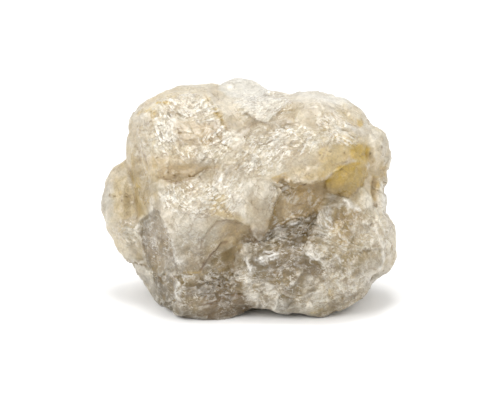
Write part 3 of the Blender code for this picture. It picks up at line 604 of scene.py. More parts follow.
# Milky white, and painted light: painted highlights on bright facets and ridges, and painted light lifting
# faces that turn from the light or lie in shade.
MILK_AND_PAINTED_LIGHT = [
    (0.25, zone(-13, 46.5, 5.5, 1.5)),
    (0.35, outline([(-5.4, 47), (-4.3, 45), (0, 44.1), (4.2, 45.6), (4, 48), (-2, 49)], 0.4)),
    (0.45, outline([(-0.8, 42.2), (1.5, 40.2), (3.3, 39.6), (4.6, 40.1), (7, 42.8), (7.3, 45), (4, 46.6),
        (0, 44.3), (-3, 44)], 0.4)),
    # Painted highlight: the bright white of the crown's left ridge.
    (0.4, outline([(-19.3, 40.5), (-15, 40.5), (-14.2, 38), (-15.2, 34.5), (-16, 32.2), (-18.6, 33.5)],
        0.8)),
    (0.2, outline([(-16, 44), (-9, 44.8), (-7.2, 42), (-8.8, 40.4), (-14, 41)], 0.9)),
    (0.45, outline([(-5.1, 37.8), (-0.9, 37.3), (-0.4, 35.3), (-2.5, 34), (-5.1, 35.1)])),
    (0.1, outline([(-17.5, 27.3), (-13.3, 26.7), (-8.5, 24), (-7.8, 21), (-12, 20), (-16.6, 20.5),
        (-17, 24)], 0.8)),
    (0.6, outline([(-5.8, 29.6), (-4.9, 29.6), (-4.8, 26), (-7.5, 24.9), (-7.2, 26.7)])),
    (0.35, outline([(-4.8, 25), (-3.6, 27.6), (-2, 26), (-0.3, 24), (-0.7, 20.8), (-3, 22), (-4.4, 23)],
        0.4)),
    (0.32, outline([(-2, 26.5), (0.5, 28), (4.5, 27.6), (6, 26.4), (5.4, 24.6), (-0.3, 24)], 0.5)),
    (0.28, zone(8.5, 36.6, 4.5, 1.4, 18)), (0.4, zone(2.6, 33.2, 1.6, 0.9)),
    (0.35, zone(6.2, 33.9, 1.5, 0.8, 35)),
    (0.35, outline([(15.8, 38.6), (17.5, 39.3), (20.5, 37.6), (21, 36.6), (18.5, 36.4), (16, 37.6)], 0.5)),
    (0.4, zone(12.6, 36, 2, 1.2, -10)), (0.55, line([(17.6, 40.5), (19.5, 39.2), (22, 37.3)], 0.6)),
    (0.35, zone(24.8, 35.2, 0.9, 0.7)), (0.35, zone(26, 36.8, 1.6, 0.7, 20)),
    (0.25, outline([(-17, 21.5), (-7.8, 21.5), (-9.2, 15), (-14.6, 15.2)], 1)),
    (0.45, outline([(-14.7, 12.6), (-12.8, 12.2), (-12.7, 10), (-14, 10.8)])),
    (0.4, outline([(-19.6, 16), (-18.5, 17), (-17.8, 15.6), (-18.7, 14.8)])),
    (0.35, zone(-19.2, 23, 0.6, 1.8, -10)), (0.4, zone(-14, 6, 0.7, 2.8, 5)),
    (0.25, zone(-9, 6.2, 1.8, 0.8, 20)), (0.2, zone(-9, 2.8, 1.3, 0.5, 20)), (0.4, zone(-22.4, 17, 1, 2.4)),
    (0.12, zone(-28.6, 24, 1, 4)), (0.2, zone(9, 2, 5, 1.6)),
    (0.34, outline([(-2.4, 12.6), (-0.6, 15.2), (0.6, 15.3), (0.2, 13.2), (-0.7, 11.9), (0.9, 9.4),
        (0.8, 7.3), (2.5, 5), (0.3, 3.2), (-0.7, 5), (-0.9, 8), (-2.8, 10.4)], 0.5)),
    # Painted highlights: bright dashes on the lower lobe.
    (0.8, line([(-0.6, 12.2), (0.1, 11.2), (0.7, 9.6)], 0.4)),
    (0.9, line([(2.6, 12.9), (3.9, 12.7), (5.4, 12.9)], 0.45)), (0.7, line([(2.8, 12.2), (5, 12)], 0.3)),
    (0.4, zone(3.4, 6.6, 3, 1.2, -30)), (0.25, zone(1.4, 4.6, 1.2, 1)),
    (0.55, outline([(11.2, 13.6), (12.7, 14.9), (13.7, 13), (15.8, 10.8), (14.8, 10.8), (12.8, 12.3)])),
    (0.55, outline([(18.9, 24.4), (20.3, 24.2), (22.8, 21.4), (21.6, 21.6), (19.4, 22.9)])),
    (0.55, line([(25.1, 19.8), (26.1, 17), (26.9, 14.5), (27, 11.6), (26.4, 10.4)], 0.4)),
    (0.6, line([(15.6, 18.8), (16.6, 18.3), (17.6, 18.1)], 0.4)),
    (0.45, line([(15.2, 17.6), (18, 16.8), (21, 15)], 0.2)),
    (0.55, line([(17, 12.7), (18.6, 11.2), (20.2, 11.4)], 0.35)),
    (0.5, line([(19.3, 10.2), (20.3, 8.7), (21.3, 8)], 0.4)),
    (0.4, outline([(15.7, 10.2), (20, 8.2), (24.7, 9), (25.5, 7.7), (22.3, 5.4), (17, 5), (13.8, 2.4),
        (11.8, 2.8), (13, 6.9), (15, 7.8)], 0.5)),
    (0.4, outline([(22, 24.6), (24.6, 25), (25, 22.6), (23, 22.3)], 0.4)), (0.3, zone(26.6, 24, 1, 2.4)),
    (0.35, outline([(4.1, 17.6), (6.6, 18.9), (7.8, 17), (7.2, 16), (5, 16.3)], 0.3)),
    (0.35, line([(-0.5, 24), (-0.9, 20.8)], 0.3)),
    (0.4, outline([(-23, 11.5), (-20, 9.5), (-18.9, 7), (-17.7, 3), (-18.7, 3), (-20, 6.5), (-22.9, 10)])),
    # The first patch below is painted light on the upper left side, which turns away from the light.
    (0.15, zone(-22, 36, 2.5, 7)), (0.35, zone(12.5, 43.8, 9, 1.8, -8)), (0.15, zone(4, 3, 4, 2.2)),
    (0.25, zone(18, 43, 3.4, 2, -30)), (0.25, zone(9, 2.5, 6, 2)), (0.3, zone(25, 9.5, 3, 3)),
    (0.25, zone(18, 5, 6, 3)), (0.45, zone(12.6, 6, 2, 3)), (0.25, zone(-4, 43.2, 3, 2.4)),
    (0.18, zone(-14.4, 38, 3, 2.6)), (0.2, zone(-14.4, 11.6, 2.6, 2.6)), (0.22, zone(23, 17, 2.5, 3.4)),
    # Painted light on the upper right shoulder, which lies in shade.
    (0.3, zone(22.5, 41.5, 2.6, 2.2)), (0.3, zone(23.5, 37, 2.6, 2.2)),
    (0.5, line([(-16.8, 19.6), (-15, 16.3), (-14.6, 12.6), (-12.9, 9.6)], 0.35)),
    # The last patch below is painted light in the shade under the tongue's tip.
    (0.3, line([(-22, 19.4), (-21, 14), (-19.3, 9.4)], 0.3)), (0.2, zone(-1, 13.5, 2.5, 1.5)),
]
CLEAR = [
    (0.45, outline([(-5.8, 46.5), (-4.3, 45), (0, 44.1), (4.2, 45.6), (5, 48), (-2, 50), (-6, 48)], 0.5)),
    (0.15, outline([(-0.8, 42.2), (1.5, 40.2), (3.3, 39.6), (4.6, 40.1), (7, 42.8), (8, 45), (4, 46.6),
        (0, 44.3), (-3, 44)], 0.5)),
    (0.35, zone(15, 45.5, 9, 1.6, -12)), (0.25, zone(28.4, 34, 1.6, 4)), (0.15, zone(-28.8, 26, 1.2, 4)),
    (0.3, zone(28.3, 23.5, 1.2, 2)),
]
# Painted highlights: near-white lines where small facets would catch the light.
PAINTED_HIGHLIGHTS = [
    (0.9, line([(2.3, 12.4), (3.4, 13), (5.3, 13.1)], 0.3)),
    (0.8, line([(2.6, 11.7), (3.8, 12.2), (5.7, 12.2)], 0.3)), (0.7, line([(3.4, 13.7), (5, 13.9)], 0.3)),
    (0.6, line([(11.4, 13.6), (12.6, 12.4), (13.9, 11.9)], 0.35)),
    (0.6, line([(15.2, 19), (16, 18.3), (17.2, 18.4)], 0.3)),
    (0.6, line([(15.6, 20.4), (16.4, 19.6)], 0.3)),
    (0.55, line([(19, 23.9), (20.8, 22.6), (22.4, 21.7)], 0.3)),
    (0.5, line([(17.3, 12.8), (18.3, 11.9), (19.6, 11.9)], 0.3)),
    (0.6, line([(-0.6, 12.1), (0.2, 11.1), (0.6, 9.8)], 0.35)),
    (0.6, line([(8.6, 18.9), (9.8, 19.4)], 0.35)), (0.5, line([(4.8, 17.9), (6.2, 18.8)], 0.3)),
    (0.5, line([(-6.8, 26), (-5.2, 28)], 0.4)), (0.5, line([(6.6, 25.8), (7.8, 26.4)], 0.3)),
    (0.5, line([(-12.8, 8.9), (-11, 8.6)], 0.3)), (0.5, line([(-14.5, 4.4), (-13.9, 7.6)], 0.3)),
    (0.5, line([(-9.8, 6.2), (-8.3, 6.6)], 0.3)),
]
GLINTS = [
    (0.9, zone(-16.8, 37.5, 2.4, 5, 5)), (0.85, zone(-11, 42.3, 6.5, 2.8, -12)),
    (0.85, zone(-6, 35, 3, 4.5, -30)), (0.7, zone(-12.5, 33.6, 5, 1.6)),
    (0.3, zone(-13, 38.5, 7.5, 7, -20)), (0.85, zone(-11.5, 24, 6, 4, -10)), (0.6, zone(-4, 25, 3.6, 5)),
    (0.8, zone(7, 35.5, 8, 3.6)), (0.7, zone(18, 37.8, 5, 3, -30)), (0.6, zone(2, 31.5, 5.5, 3)),
    (0.6, zone(3, 42.8, 6, 3.6)), (0.56, zone(5, 10, 7, 6.5)), (0.75, zone(9, 18, 6, 3.4, 25)),
    (0.5, zone(19, 16, 8, 8.5)), (0.5, zone(17, 14, 3, 3)), (0.4, zone(15.5, 20.5, 1.5, 3)),
    (0.62, zone(-6, 7, 7, 4)), (0.5, zone(-24, 17.5, 3.4, 3)), (0.6, zone(17, 6, 6, 4.5)),
    (0.45, zone(-14.5, 8, 2.5, 6, 8)), (0.5, zone(6.4, 26.4, 2.2, 1.4)), (0.4, zone(10, 24, 5, 3)),
    (0.3, zone(-13, 17.5, 3.5, 3)), (0.3, zone(-10, 12, 3, 2.5)), (0.3, zone(-18, 16, 3, 5)),
    (0.3, zone(27.5, 18, 2, 10)), (0.55, zone(5.2, 21.5, 0.9, 3.5, 15)), (0.3, zone(-20.5, 38, 2, 6)),
    (0.35, zone(-21, 27, 1.5, 4)),
]
MARKINGS = {"honey": HONEY, "tan": TAN, "umber_and_painted_shade": UMBER_AND_PAINTED_SHADE, "grey": GREY, "milk_and_painted_light": MILK_AND_PAINTED_LIGHT, "clear": CLEAR,
            "painted_highlights": PAINTED_HIGHLIGHTS, "glints": GLINTS}

# Dark grains caught in the surface: x, u and size in mm.
GRAINS = [
    (18.9, 4.3, 0.22), (19.1, 33.2, 0.2), (22, 32.3, 0.18), (22, 38.6, 0.16), (27.6, 31.7, 0.2),
    (28.1, 35.9, 0.16), (27.1, 34.7, 0.16), (24.4, 33.2, 0.16), (-19.5, 37.1, 0.12), (-17.8, 32.2, 0.12),
    (-21.8, 38.9, 0.12), (-15.6, 29.4, 0.25), (-14.6, 28.9, 0.18), (-11.6, 28.7, 0.2), (-14.3, 27.4, 0.26),
    (-0.6, 36.4, 0.18), (-4.5, 29.2, 0.18), (-12.8, 17.3, 0.2), (-25.7, 22.4, 0.18), (-27.5, 17.3, 0.15),
    (-10, 42.4, 0.18), (-16.7, 28.4, 0.22), (11.5, 27.2, 0.22), (16.8, 28.4, 0.2), (-21.5, 11.9, 0.16),
    (27.4, 9.7, 0.15), (28.3, 11.5, 0.16), (5.4, 9.5, 0.2), (15.2, 7.9, 0.18), (25.7, 23, 0.3),
    (13.3, 40.6, 0.14), (-27, 24.5, 0.12), (-26.3, 25.6, 0.12), (-25.5, 23.6, 0.12), (-24.8, 24.5, 0.12),
    (-27.9, 24.9, 0.14), (-23.5, 15.5, 0.12), (-26.5, 19.5, 0.12), (27.3, 20.9, 0.16), (26.8, 33.5, 0.12),
    (25.1, 31.6, 0.12),
]


HOLLOW_ROUNDS = 5                        # rounds of evening out that give the skin around a point


def hollow_of(mesh):
    """How far each point lies below the skin around it, in mm; below 0 on a ridge."""
    points = points_of(mesh) / MM
    ends = np.empty(len(mesh.edges) * 2, dtype=np.int32)
    mesh.edges.foreach_get("vertices", ends)
    ends = ends.reshape(-1, 2)
    here, there = ends.ravel(), ends[:, ::-1].ravel()
    number = np.maximum(np.bincount(here, minlength=len(points)), 1)
    around = points
    for _ in range(HOLLOW_ROUNDS):
        around = np.stack([np.bincount(here, around[there, axis], len(points)) / number
                           for axis in range(3)], axis=1)
    return ((around - points) * points_of(mesh, "normal")).sum(axis=1)


def painted(marks, across, up):
    """How strongly one kind of marking lies at each place."""
    clear = np.ones(len(across))
    for amount, patch in marks:
        clear *= 1.0 - amount * patch(across, up)
    return 1.0 - clear


def with_more(laid, more):
    """A marking to which some more is added where it doesn't already lie."""
    return 1.0 - (1.0 - laid) * (1.0 - more)


def lay_markings(mesh):
    """Store, on each point of the skin, how strongly each marking lies there."""
    places = drawing_places(points_of(mesh))
    front = toward_front(mesh)
    wavered = places + 0.32 * swells(places, size=1.4, seed=42)
    wavered += 0.12 * swells(places, size=0.6, seed=43)
    across, up = wavered[:, 0], wavered[:, 2]
    slabs = Flakes(places, size=7.0, seed=61, stretch=(0.8, 1.0, 1.1), lie=20).chance
    low = 1.0 - smooth_step(4.0, 22.0, places[:, 2])
    behind = {                           # the sides and the back are coloured slab by slab
        "honey": 0.45 * smooth_step(0.6, 1.0, slabs[:, 0]), "tan": 0.4 * smooth_step(0.5, 1.0, slabs[:, 1]),
        "umber_and_painted_shade": 0.4 * smooth_step(0.72, 1.0, slabs[:, 1]), "grey": 0.65 * low * (0.4 + 0.6 * slabs[:, 2]),
        "milk_and_painted_light": 0.6 * smooth_step(0.5, 1.0, slabs[:, 2]), "clear": 0.3 * smooth_step(0.6, 1.0, slabs[:, 1]),
        "painted_highlights": 0.0, "glints": 0.2 + 0.4 * slabs[:, 1],
    }
    layers = {name: front * painted(marks, across, up) + (1.0 - front) * behind[name]
              for name, marks in MARKINGS.items()}
    # Hollows get a brown stain; ridges get painted light, as thin edges let light through.
    hollow = hollow_of(mesh)
    stained = smooth_step(0.02, 0.14, hollow)
    painted_ridge_light = smooth_step(0.03, 0.14, -hollow)
    for name, more in (("umber_and_painted_shade", 0.07 * stained), ("honey", 0.2 * stained), ("milk_and_painted_light", 0.35 * painted_ridge_light)):
        layers[name] = with_more(layers[name], more)
    layers["milk_and_painted_light"] *= 1.0 - 0.8 * layers["honey"]
    layers["lie"] = lie_of(across)
    layers["crack"] = front * cut_cracks(across, up)[1]
    grains = np.zeros(len(across))
    for x, u, size in GRAINS:
        grains = np.maximum(grains, 1.0 - smooth_step(size * 0.5, size * 1.3, np.hypot(across - x, up - u)))
    layers["grain"] = front * grains
    store(mesh, layers)


# ---------------------------------------------------------------- material

HALF = (0.5, 0.5, 0.5)                           # the middle of a noise or of a random colour
MIX_SOCKETS = {"FLOAT": (2, 3, 0), "VECTOR": (4, 5, 1), "RGBA": (6, 7, 2)}   # both inputs and the output


class Wiring:
    """Adds nodes to a tree; each input is given a plain value or another node's output."""

    def __init__(self, tree):
        self.tree = tree

    def feed(self, socket, value):
        if isinstance(value, bpy.types.NodeSocket):
            self.tree.links.new(value, socket)
        else:
            socket.default_value = value

    def add(self, kind, inputs=None, out=0, **settings):
        node = self.tree.nodes.new("ShaderNode" + kind)
        for name, value in settings.items():
            setattr(node, name, value)
        for name, value in (inputs or {}).items():
            self.feed(node.inputs[name], value)
        return node.outputs[out]

    def math(self, operation, first, second=0.0):
        return self.add("Math", {0: first, 1: second}, operation=operation)

    def plus(self, first, second):
        return self.math("ADD", first, second)

    def minus(self, first, second):
        return self.math("SUBTRACT", first, second)

    def times(self, first, second):
        return self.math("MULTIPLY", first, second)

    def larger(self, first, second):
        return self.math("MAXIMUM", first, second)

    def vector(self, operation, first, second=(0.0, 0.0, 0.0)):
        return self.add("VectorMath", {0: first, 1: second}, operation=operation)

    def scaled(self, vector, scale):
        return self.add("VectorMath", {0: vector, "Scale": scale}, operation="SCALE")

    def spread(self, value, low, high, to_low=0.0, to_high=1.0):
        inputs = {"Value": value, "From Min": low, "From Max": high, "To Min": to_low, "To Max": to_high}
        return self.add("MapRange", inputs, interpolation_type="SMOOTHSTEP")

    def mix(self, share, first, second, kind="RGBA", blend="MIX"):
        at_first, at_second, out = MIX_SOCKETS[kind]
        return self.add("Mix", {0: share, at_first: first, at_second: second}, out=out, data_type=kind,
                        blend_type=blend)

    def noise(self, place, scale, detail=3.0, roughness=0.5, out=0):
        return self.add("TexNoise", {"Vector": place, "Scale": scale, "Detail": detail,
                                     "Roughness": roughness}, out=out)

    def group(self, made, inputs):
        node = self.tree.nodes.new("ShaderNodeGroup")
        node.node_tree = made
        for name, value in inputs.items():
            self.feed(node.inputs[name], value)
        return node.outputs


def new_group(name, inputs, outputs):
    """An empty node group with these inputs and outputs {name: type}: its wiring, its inputs, its end."""
    tree = bpy.data.node_groups.new(name, "ShaderNodeTree")
    for label, kind in inputs.items():
        tree.interface.new_socket(name=label, in_out="INPUT", socket_type="NodeSocket" + kind)
    for label, kind in outputs.items():
        tree.interface.new_socket(name=label, in_out="OUTPUT", socket_type="NodeSocket" + kind)
    start = tree.nodes.new("NodeGroupInput")
    end = tree.nodes.new("NodeGroupOutput")
    return Wiring(tree), start.outputs, end


FLAKE_WAVER = 0.8                        # how far the flakes' edges waver, in sizes of a flake
FLAKE_THINNESS = 1.4
PATCH_FINENESS = 0.13                    # size of a flake against that of a patch whose flakes lie one way
PATCHES_APART = 40.0                     # how far each patch's own pattern is taken from the next one's
VEIL_STRETCH = (0.7, 1.0, 1.2)


def flakes_group():
    """Cleavage flakes, in patches that lie their own way: each turns the facing, has a level, and rises."""
    wiring, given, end = new_group(
        "cleavage_flakes",
        {"Place": "Vector", "Facing": "Vector", "Size": "Float", "Length": "Float", "Tilt": "Float",
         "Lie": "Float"},
        {"Facing": "Vector", "Level": "Float", "Rise": "Float"})
    fineness = wiring.math("DIVIDE", 1.0, given["Size"])
    waver = wiring.noise(given["Place"], fineness, 2.0, 0.6, out="Color")
    waver = wiring.vector("SUBTRACT", waver, HALF)
    waver = wiring.scaled(waver, wiring.times(given["Size"], FLAKE_WAVER))
    near = wiring.vector("ADD", given["Place"], waver)
    patch = {"Vector": near, "Scale": wiring.math("DIVIDE", PATCH_FINENESS, given["Size"])}
    chance = wiring.add("TexVoronoi", patch, out="Color", feature="F1")
    middle = wiring.add("TexVoronoi", patch, out="Position", feature="F1")
    sway = wiring.spread(wiring.add("SeparateColor", {0: chance}), 0.0, 1.0, -0.5, 0.5)
    near = wiring.vector("SUBTRACT", near, middle)
    near = wiring.vector("ADD", near, wiring.scaled(chance, PATCHES_APART))
    turned = wiring.add("VectorRotate", {"Vector": near, "Angle": wiring.plus(given["Lie"], sway)},
                        rotation_type="Y_AXIS")
    shortened = wiring.math("DIVIDE", 1.0, given["Length"])
    drawn_out = wiring.add("CombineXYZ", {"X": shortened, "Y": 1.0, "Z": FLAKE_THINNESS})
    laid = wiring.vector("MULTIPLY", turned, drawn_out)
    laid = wiring.scaled(laid, fineness)
    cell = wiring.add("TexVoronoi", {"Vector": laid, "Scale": 1.0}, out="Color", feature="F1")
    centre = wiring.add("TexVoronoi", {"Vector": laid, "Scale": 1.0}, out="Position", feature="F1")
    height = wiring.add("SeparateXYZ", {0: wiring.vector("SUBTRACT", laid, centre)}, out="Z")
    lean = wiring.scaled(wiring.vector("SUBTRACT", cell, HALF), given["Tilt"])
    facing = wiring.vector("NORMALIZE", wiring.vector("ADD", given["Facing"], lean))
    wiring.feed(end.inputs["Facing"], facing)
    wiring.feed(end.inputs["Level"], wiring.add("SeparateColor", {0: cell}))
    wiring.feed(end.inputs["Rise"], height)
    return wiring.tree


def veils_group():
    """Healed cracks inside the stone: thin white wisps, here and there."""
    wiring, given, end = new_group(
        "healed_veils", {"Place": "Vector", "Size": "Float", "Thickness": "Float"}, {"Veil": "Float"})
    fineness = wiring.math("DIVIDE", 1.0, given["Size"])
    drawn = wiring.vector("MULTIPLY", given["Place"], VEIL_STRETCH)
    wave = wiring.noise(drawn, fineness, 4.0, 0.62)
    off = wiring.math("ABSOLUTE", wiring.minus(wave, 0.5))
    thread = wiring.spread(off, 0.0, given["Thickness"], 1.0, 0.0)
    here = wiring.spread(wiring.noise(given["Place"], wiring.times(fineness, 0.7), 2.0), 0.5, 0.62)
    wiring.feed(end.inputs["Veil"], wiring.times(thread, here))
    return wiring.tree


BEIGE = (0.415, 0.349, 0.247, 1.0)
CREAM = (0.49, 0.437, 0.332, 1.0)
SMOKE = (0.118, 0.086, 0.037, 1.0)
HONEY_COLOUR = (0.37, 0.245, 0.03, 1.0)
TAN_COLOUR = (0.385, 0.262, 0.10, 1.0)
# The dark brown, milky white and near-white spark colours also serve painted shade and painted light.
UMBER_AND_SHADE_COLOUR = (0.13, 0.083, 0.03, 1.0)
MILK_AND_LIGHT_COLOUR = (0.69, 0.662, 0.595, 1.0)
CLEAR_COLOUR = (0.53, 0.53, 0.50, 1.0)
PAINTED_HIGHLIGHT_COLOUR = (0.92, 0.91, 0.88, 1.0)
CRACK_COLOUR = (0.16, 0.095, 0.04, 1.0)
GRAIN_COLOUR = (0.14, 0.08, 0.012, 1.0)

# Size and length of the larger flakes in mm, their tilt, and their lie in radians.
FLAKE_LAYERS = ((2.4, 1.8, 0.3, -0.5), (1.0, 2.0, 0.36, 0.8))
STROKE_SIZE, STROKE_LENGTH, STROKE_TILT = 0.5, 3.4, 0.5
STROKE_LIES = (-0.8, 0.55)               # beside the middle of the stone, and in it
THROUGH = (1.0, 0.5, 1.0)                # patterns are drawn out into the depth of the stone
FAR_SHIFT, NEAR_SHIFT = (31.0, 7.0, 5.0), (5.0, 23.0, 41.0)    # where further veils are taken from, in mm
SEAM_FINENESS, SEAM_WANDER = 0.36, 2.2   # seams to a mm, and how far they wander, in mm
BUMP_STRENGTH, BUMP_HEIGHT = 0.5, 0.0001         # the height is in metres
BODY = {
    "IOR": 1.6, "Specular IOR Level": 0.5, "Subsurface Weight": 0.75,
    "Subsurface Radius": (1.0, 0.97, 0.92), "Subsurface Scale": 0.0002,
}


def amblygonite():
    """Milky cream stone, smoky below, honey-stained, with glinting flakes, white veils and brown cracks,
    and painted highlights and shade.
    """
    material = bpy.data.materials.new("amblygonite")
    material.use_nodes = True
    wiring = Wiring(material.node_tree)
    shader = material.node_tree.nodes["Principled BSDF"]
    place = wiring.add("Mapping", {
        "Vector": wiring.add("TexCoord", out="Object"), "Location": -(UP_RIGHT @ SET_DOWN),
        "Rotation": (LEAN, 0.0, 0.0), "Scale": (1 / MM, 1 / MM, 1 / MM)})
    place = wiring.vector("MULTIPLY", place, THROUGH)
    facing = wiring.add("NewGeometry", out="Normal")
    names = (*MARKINGS, "lie", "crack", "grain", "shade", "frost")
    mask = {name: wiring.add("Attribute", out="Fac", attribute_name=name) for name in names}

    # Larger flakes, then fine strokes, each turn the facing that the ones before have left.
    flakes, veils = flakes_group(), veils_group()
    glinting = wiring.spread(mask["glints"], 0.0, 1.0, 0.15, 1.0)
    levels, rises = [], []
    for size, length, tilt, lie in FLAKE_LAYERS:
        made = wiring.group(flakes, {"Place": place, "Facing": facing, "Size": size, "Length": length,
                                     "Tilt": wiring.times(glinting, tilt), "Lie": lie})
        facing = made["Facing"]
        levels.append(made["Level"])
        rises.append(made["Rise"])
    strokes = [wiring.group(flakes, {
        "Place": place, "Facing": facing, "Size": STROKE_SIZE, "Length": STROKE_LENGTH,
        "Tilt": wiring.times(glinting, STROKE_TILT), "Lie": lie}) for lie in STROKE_LIES]
    facing = wiring.mix(mask["lie"], strokes[0]["Facing"], strokes[1]["Facing"], "VECTOR")
    stroke = wiring.mix(mask["lie"], strokes[0]["Level"], strokes[1]["Level"], "FLOAT")
    rises.append(wiring.mix(mask["lie"], strokes[0]["Rise"], strokes[1]["Rise"], "FLOAT"))
    patchy = wiring.spread(wiring.noise(place, 0.45, 3.0, 0.6), 0.40, 0.56)
    patchy = wiring.times(patchy, mask["glints"])

    # The body: cream clouds, smoke, stains and painted shade, and milky white with painted light on some
    # flakes.
    cloud = wiring.noise(place, 0.22, 4.0, 0.6)
    shallow = wiring.spread(mask["grey"], 0.0, 0.7, 0.98, 0.82)
    depths = wiring.spread(wiring.noise(place, 0.5, 4.0, 0.6), 0.32, 0.68, shallow, 1.06)
    colour = wiring.mix(wiring.spread(cloud, 0.35, 0.65), BEIGE, CREAM)
    for name, tint in (("grey", SMOKE), ("honey", HONEY_COLOUR), ("tan", TAN_COLOUR),
                       ("umber_and_painted_shade", UMBER_AND_SHADE_COLOUR)):
        colour = wiring.mix(mask[name], colour, tint)
    flaky = wiring.plus(wiring.times(levels[0], 0.45), wiring.times(levels[1], 0.55))
    clouded = wiring.spread(flaky, 0.2, 0.8, 0.45, 1.1)
    colour = wiring.mix(wiring.times(mask["milk_and_painted_light"], clouded), colour, MILK_AND_LIGHT_COLOUR)
    colour = wiring.mix(mask["clear"], colour, CLEAR_COLOUR)

    # White veils and curls, dark threads, frosted edges, and the painted sheen and painted shadow of
    # strokes.
    far_place = wiring.vector("ADD", place, FAR_SHIFT)
    near_place = wiring.vector("ADD", place, NEAR_SHIFT)
    other_place = wiring.vector("ADD", near_place, far_place)
    broad, thin, curls, thread = (
        wiring.group(veils, {"Place": where, "Size": size, "Thickness": thickness})["Veil"]
        for where, size, thickness in ((place, 3.2, 0.028), (far_place, 1.3, 0.038),
                                       (near_place, 0.75, 0.05), (other_place, 1.2, 0.03)))
    curled = wiring.spread(wiring.noise(near_place, 0.3, 3.0, 0.6), 0.47, 0.58)
    veil = wiring.larger(wiring.larger(broad, thin), wiring.times(curls, curled))
    wispy = wiring.larger(mask["glints"], mask["grey"])
    wisp = wiring.times(veil, wiring.spread(wispy, 0.0, 0.8, 0.10, 0.68))
    frosted = wiring.spread(wiring.noise(place, 0.9, 4.0, 0.7), 0.46, 0.62, 0.0, 0.5)
    wisp = wiring.larger(wisp, wiring.times(frosted, mask["frost"]))
    sheen = wiring.times(patchy, wiring.spread(mask["grey"], 0.1, 0.8, 0.9, 0.4))
    sheen = wiring.times(wiring.spread(stroke, 0.66, 0.72), sheen)
    shadow = wiring.times(wiring.spread(stroke, 0.18, 0.26, 1.0, 0.0), patchy)
    colour = wiring.mix(wiring.larger(wisp, sheen), colour, MILK_AND_LIGHT_COLOUR)
    colour = wiring.mix(wiring.times(shadow, 0.3), colour, UMBER_AND_SHADE_COLOUR)
    thread = wiring.times(thread, wiring.spread(wispy, 0.0, 0.8, 0.08, 0.45))
    colour = wiring.mix(thread, colour, UMBER_AND_SHADE_COLOUR)

    # Each flake is a little lighter or darker, and more so where the stone is grey and clear.
    depth = wiring.plus(wiring.times(levels[1], 0.3), wiring.times(mask["shade"], 0.7))
    depth = wiring.spread(depth, 0.0, 1.0, wiring.spread(mask["grey"], 0.1, 0.7, 0.84, 0.76),
                          wiring.spread(mask["grey"], 0.1, 0.7, 1.10, 1.15))
    depth = wiring.times(depths, depth)
    # Painted shade and light on each scale: darker at its upper edge, tucked under the scale above, and
    # lighter towards its lower edge.
    painted_scale_shading = wiring.plus(wiring.spread(rises[1], -0.5, 0.5, 0.10, -0.10),
                              wiring.spread(rises[2], -0.5, 0.5, 0.07, -0.07))
    depth = wiring.plus(depth, wiring.times(painted_scale_shading, glinting))
    fine = wiring.noise(place, 2.5, 4.0, 0.65)
    depth = wiring.times(depth, wiring.spread(fine, 0.3, 0.7, 0.86, 1.14))
    colour = wiring.mix(1.0, colour, wiring.add("CombineColor", {0: depth, 1: depth, 2: depth}),
                        blend="MULTIPLY")

    # Seams and cracks, painted highlights and dark grains lie over all that.
    wander = wiring.vector("SUBTRACT", wiring.noise(place, 0.7, 3.0, 0.55, out="Color"), HALF)
    wander = wiring.vector("ADD", place, wiring.scaled(wander, SEAM_WANDER))
    seam = wiring.add("TexVoronoi", {"Vector": wander, "Scale": SEAM_FINENESS}, feature="DISTANCE_TO_EDGE")
    seamed = wiring.spread(wiring.noise(far_place, 0.35, 2.0), 0.47, 0.57)
    seam = wiring.times(wiring.spread(seam, 0.01, 0.045, 1.0, 0.0), seamed)
    colour = wiring.mix(wiring.times(seam, 0.35), colour, CRACK_COLOUR)
    cracked = wiring.spread(wiring.noise(place, 1.1, 2.0), 0.3, 0.6, 0.35, 1.0)
    colour = wiring.mix(wiring.times(mask["crack"], cracked), colour, CRACK_COLOUR)
    highlight_breakup = wiring.spread(fine, 0.35, 0.6, 0.5, 1.0)
    colour = wiring.mix(wiring.times(mask["painted_highlights"], highlight_breakup), colour, PAINTED_HIGHLIGHT_COLOUR)
    colour = wiring.mix(mask["grain"], colour, GRAIN_COLOUR)
    wiring.feed(shader.inputs["Base Color"], colour)

    rough = wiring.spread(mask["glints"], 0.0, 0.8, 0.34, 0.10)
    rough = wiring.times(rough, wiring.spread(levels[0], 0.0, 1.0, 0.8, 1.3))
    wiring.feed(shader.inputs["Roughness"], rough)
    steps = wiring.minus(stroke, wiring.times(rises[1], 1.6))
    raised = wiring.plus(wiring.times(fine, 0.9), wiring.times(steps, glinting))
    bumped = wiring.add("Bump", {"Strength": BUMP_STRENGTH, "Distance": BUMP_HEIGHT,
                                 "Height": wiring.minus(raised, seam), "Normal": facing})
    wiring.feed(shader.inputs["Normal"], bumped)
    for name, value in BODY.items():
        wiring.feed(shader.inputs[name], value)
    return material


def make_stone():
    """The finished stone, in place of its plain solid."""
    mesh = even_skin(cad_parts[NODE])
    break_skin(mesh)
    mesh = thinned(mesh)
    lay_markings(mesh)
    mesh.name = "amblygonite_skin"
    mesh.materials.clear()
    mesh.materials.append(amblygonite())
    mesh.shade_smooth()
    mesh.set_sharp_from_angle(angle=SHARP_ANGLE)
    stone = shown(mesh)
    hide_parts(NODE)
    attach(stone, "root")


# ---------------------------------------------------------------- studio

LIT_POINT = Vector((0.0, 0.0, 0.02))     # where the soft boxes point
SOFT_BOXES = {                           # place and size in metres, power in watts
    "key_box": ((-0.24, -0.30, 0.26), 0.20, 0.80), "right_box": ((0.22, -0.26, 0.30), 0.14, 0.40),
    "top_box": ((0.0, 0.02, 0.45), 0.20, 0.95),
}
SKY_STRENGTH = 0.9
FLOOR_REACH = 3.0                        # from the middle of the floor to its sides, in metres
LENS, SENSOR = 250.0, 36.0               # of the camera, in mm
VIEW_WIDTH = 101.35                      # what the camera sees across, at the stone, in mm
AIM = Vector((0.405, 2.0, 23.6))         # (x, -d, u) on the drawing


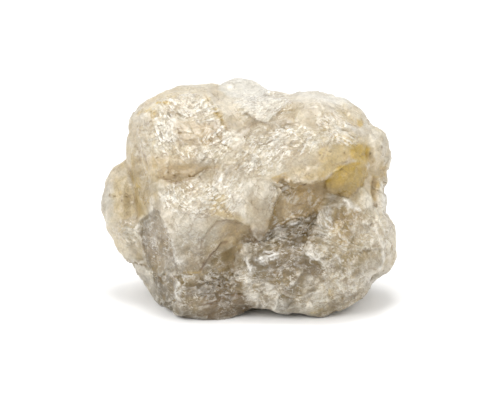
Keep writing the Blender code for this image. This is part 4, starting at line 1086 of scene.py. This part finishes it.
def soft_light(name, place, size, power):
    """A square soft box at a place, aimed at the stone; it doesn't show itself."""
    data = bpy.data.lights.new(name, "AREA")
    data.shape = "SQUARE"
    data.size = size
    data.energy = power
    lamp = bpy.data.objects.new(name, data)
    lamp.location = place
    lamp.rotation_mode = "QUATERNION"
    lamp.rotation_quaternion = (LIT_POINT - Vector(place)).to_track_quat("-Z", "Y")
    lamp.visible_camera = False
    bpy.context.scene.collection.objects.link(lamp)


def make_floor():
    """A plain pale floor."""
    bm = bmesh.new()
    bmesh.ops.create_grid(bm, x_segments=1, y_segments=1, size=FLOOR_REACH)
    mesh = bpy.data.meshes.new("floor")
    bm.to_mesh(mesh)
    bm.free()
    floor = shown(mesh)
    white = bpy.data.materials.new("floor")
    white.use_nodes = True
    shader = white.node_tree.nodes["Principled BSDF"]
    shader.inputs["Base Color"].default_value = (0.93, 0.93, 0.93, 1.0)
    shader.inputs["Roughness"].default_value = 1.0
    shader.inputs["Specular IOR Level"].default_value = 0.0
    floor.data.materials.append(white)


def make_lights():
    """Pale light from all round, and soft boxes above and in front."""
    world = bpy.data.worlds.new("studio")
    world.use_nodes = True
    sky = world.node_tree.nodes["Background"]
    sky.inputs["Color"].default_value = (1.0, 1.0, 1.0, 1.0)
    sky.inputs["Strength"].default_value = SKY_STRENGTH
    bpy.context.scene.world = world
    for name, (place, size, power) in SOFT_BOXES.items():
        soft_light(name, place, size, power)
    bpy.context.scene.view_settings.view_transform = "Standard"


def make_camera():
    """A long lens that looks a little down on the front."""
    data = bpy.data.cameras.new("camera")
    data.lens = LENS
    data.sensor_width = SENSOR
    data.clip_start = 0.01
    data.clip_end = 10.0
    camera = bpy.data.objects.new("camera", data)
    bpy.context.scene.collection.objects.link(camera)
    target = (UP_RIGHT.inverted() @ AIM + SET_DOWN) * MM
    back = Vector((0.0, -math.cos(LEAN), math.sin(LEAN)))
    camera.location = target + back * (VIEW_WIDTH * MM * LENS / SENSOR)
    camera.rotation_mode = "QUATERNION"
    camera.rotation_quaternion = (-back).to_track_quat("-Z", "Y")
    bpy.context.scene.camera = camera


make_stone()
make_floor()
make_lights()
make_camera()
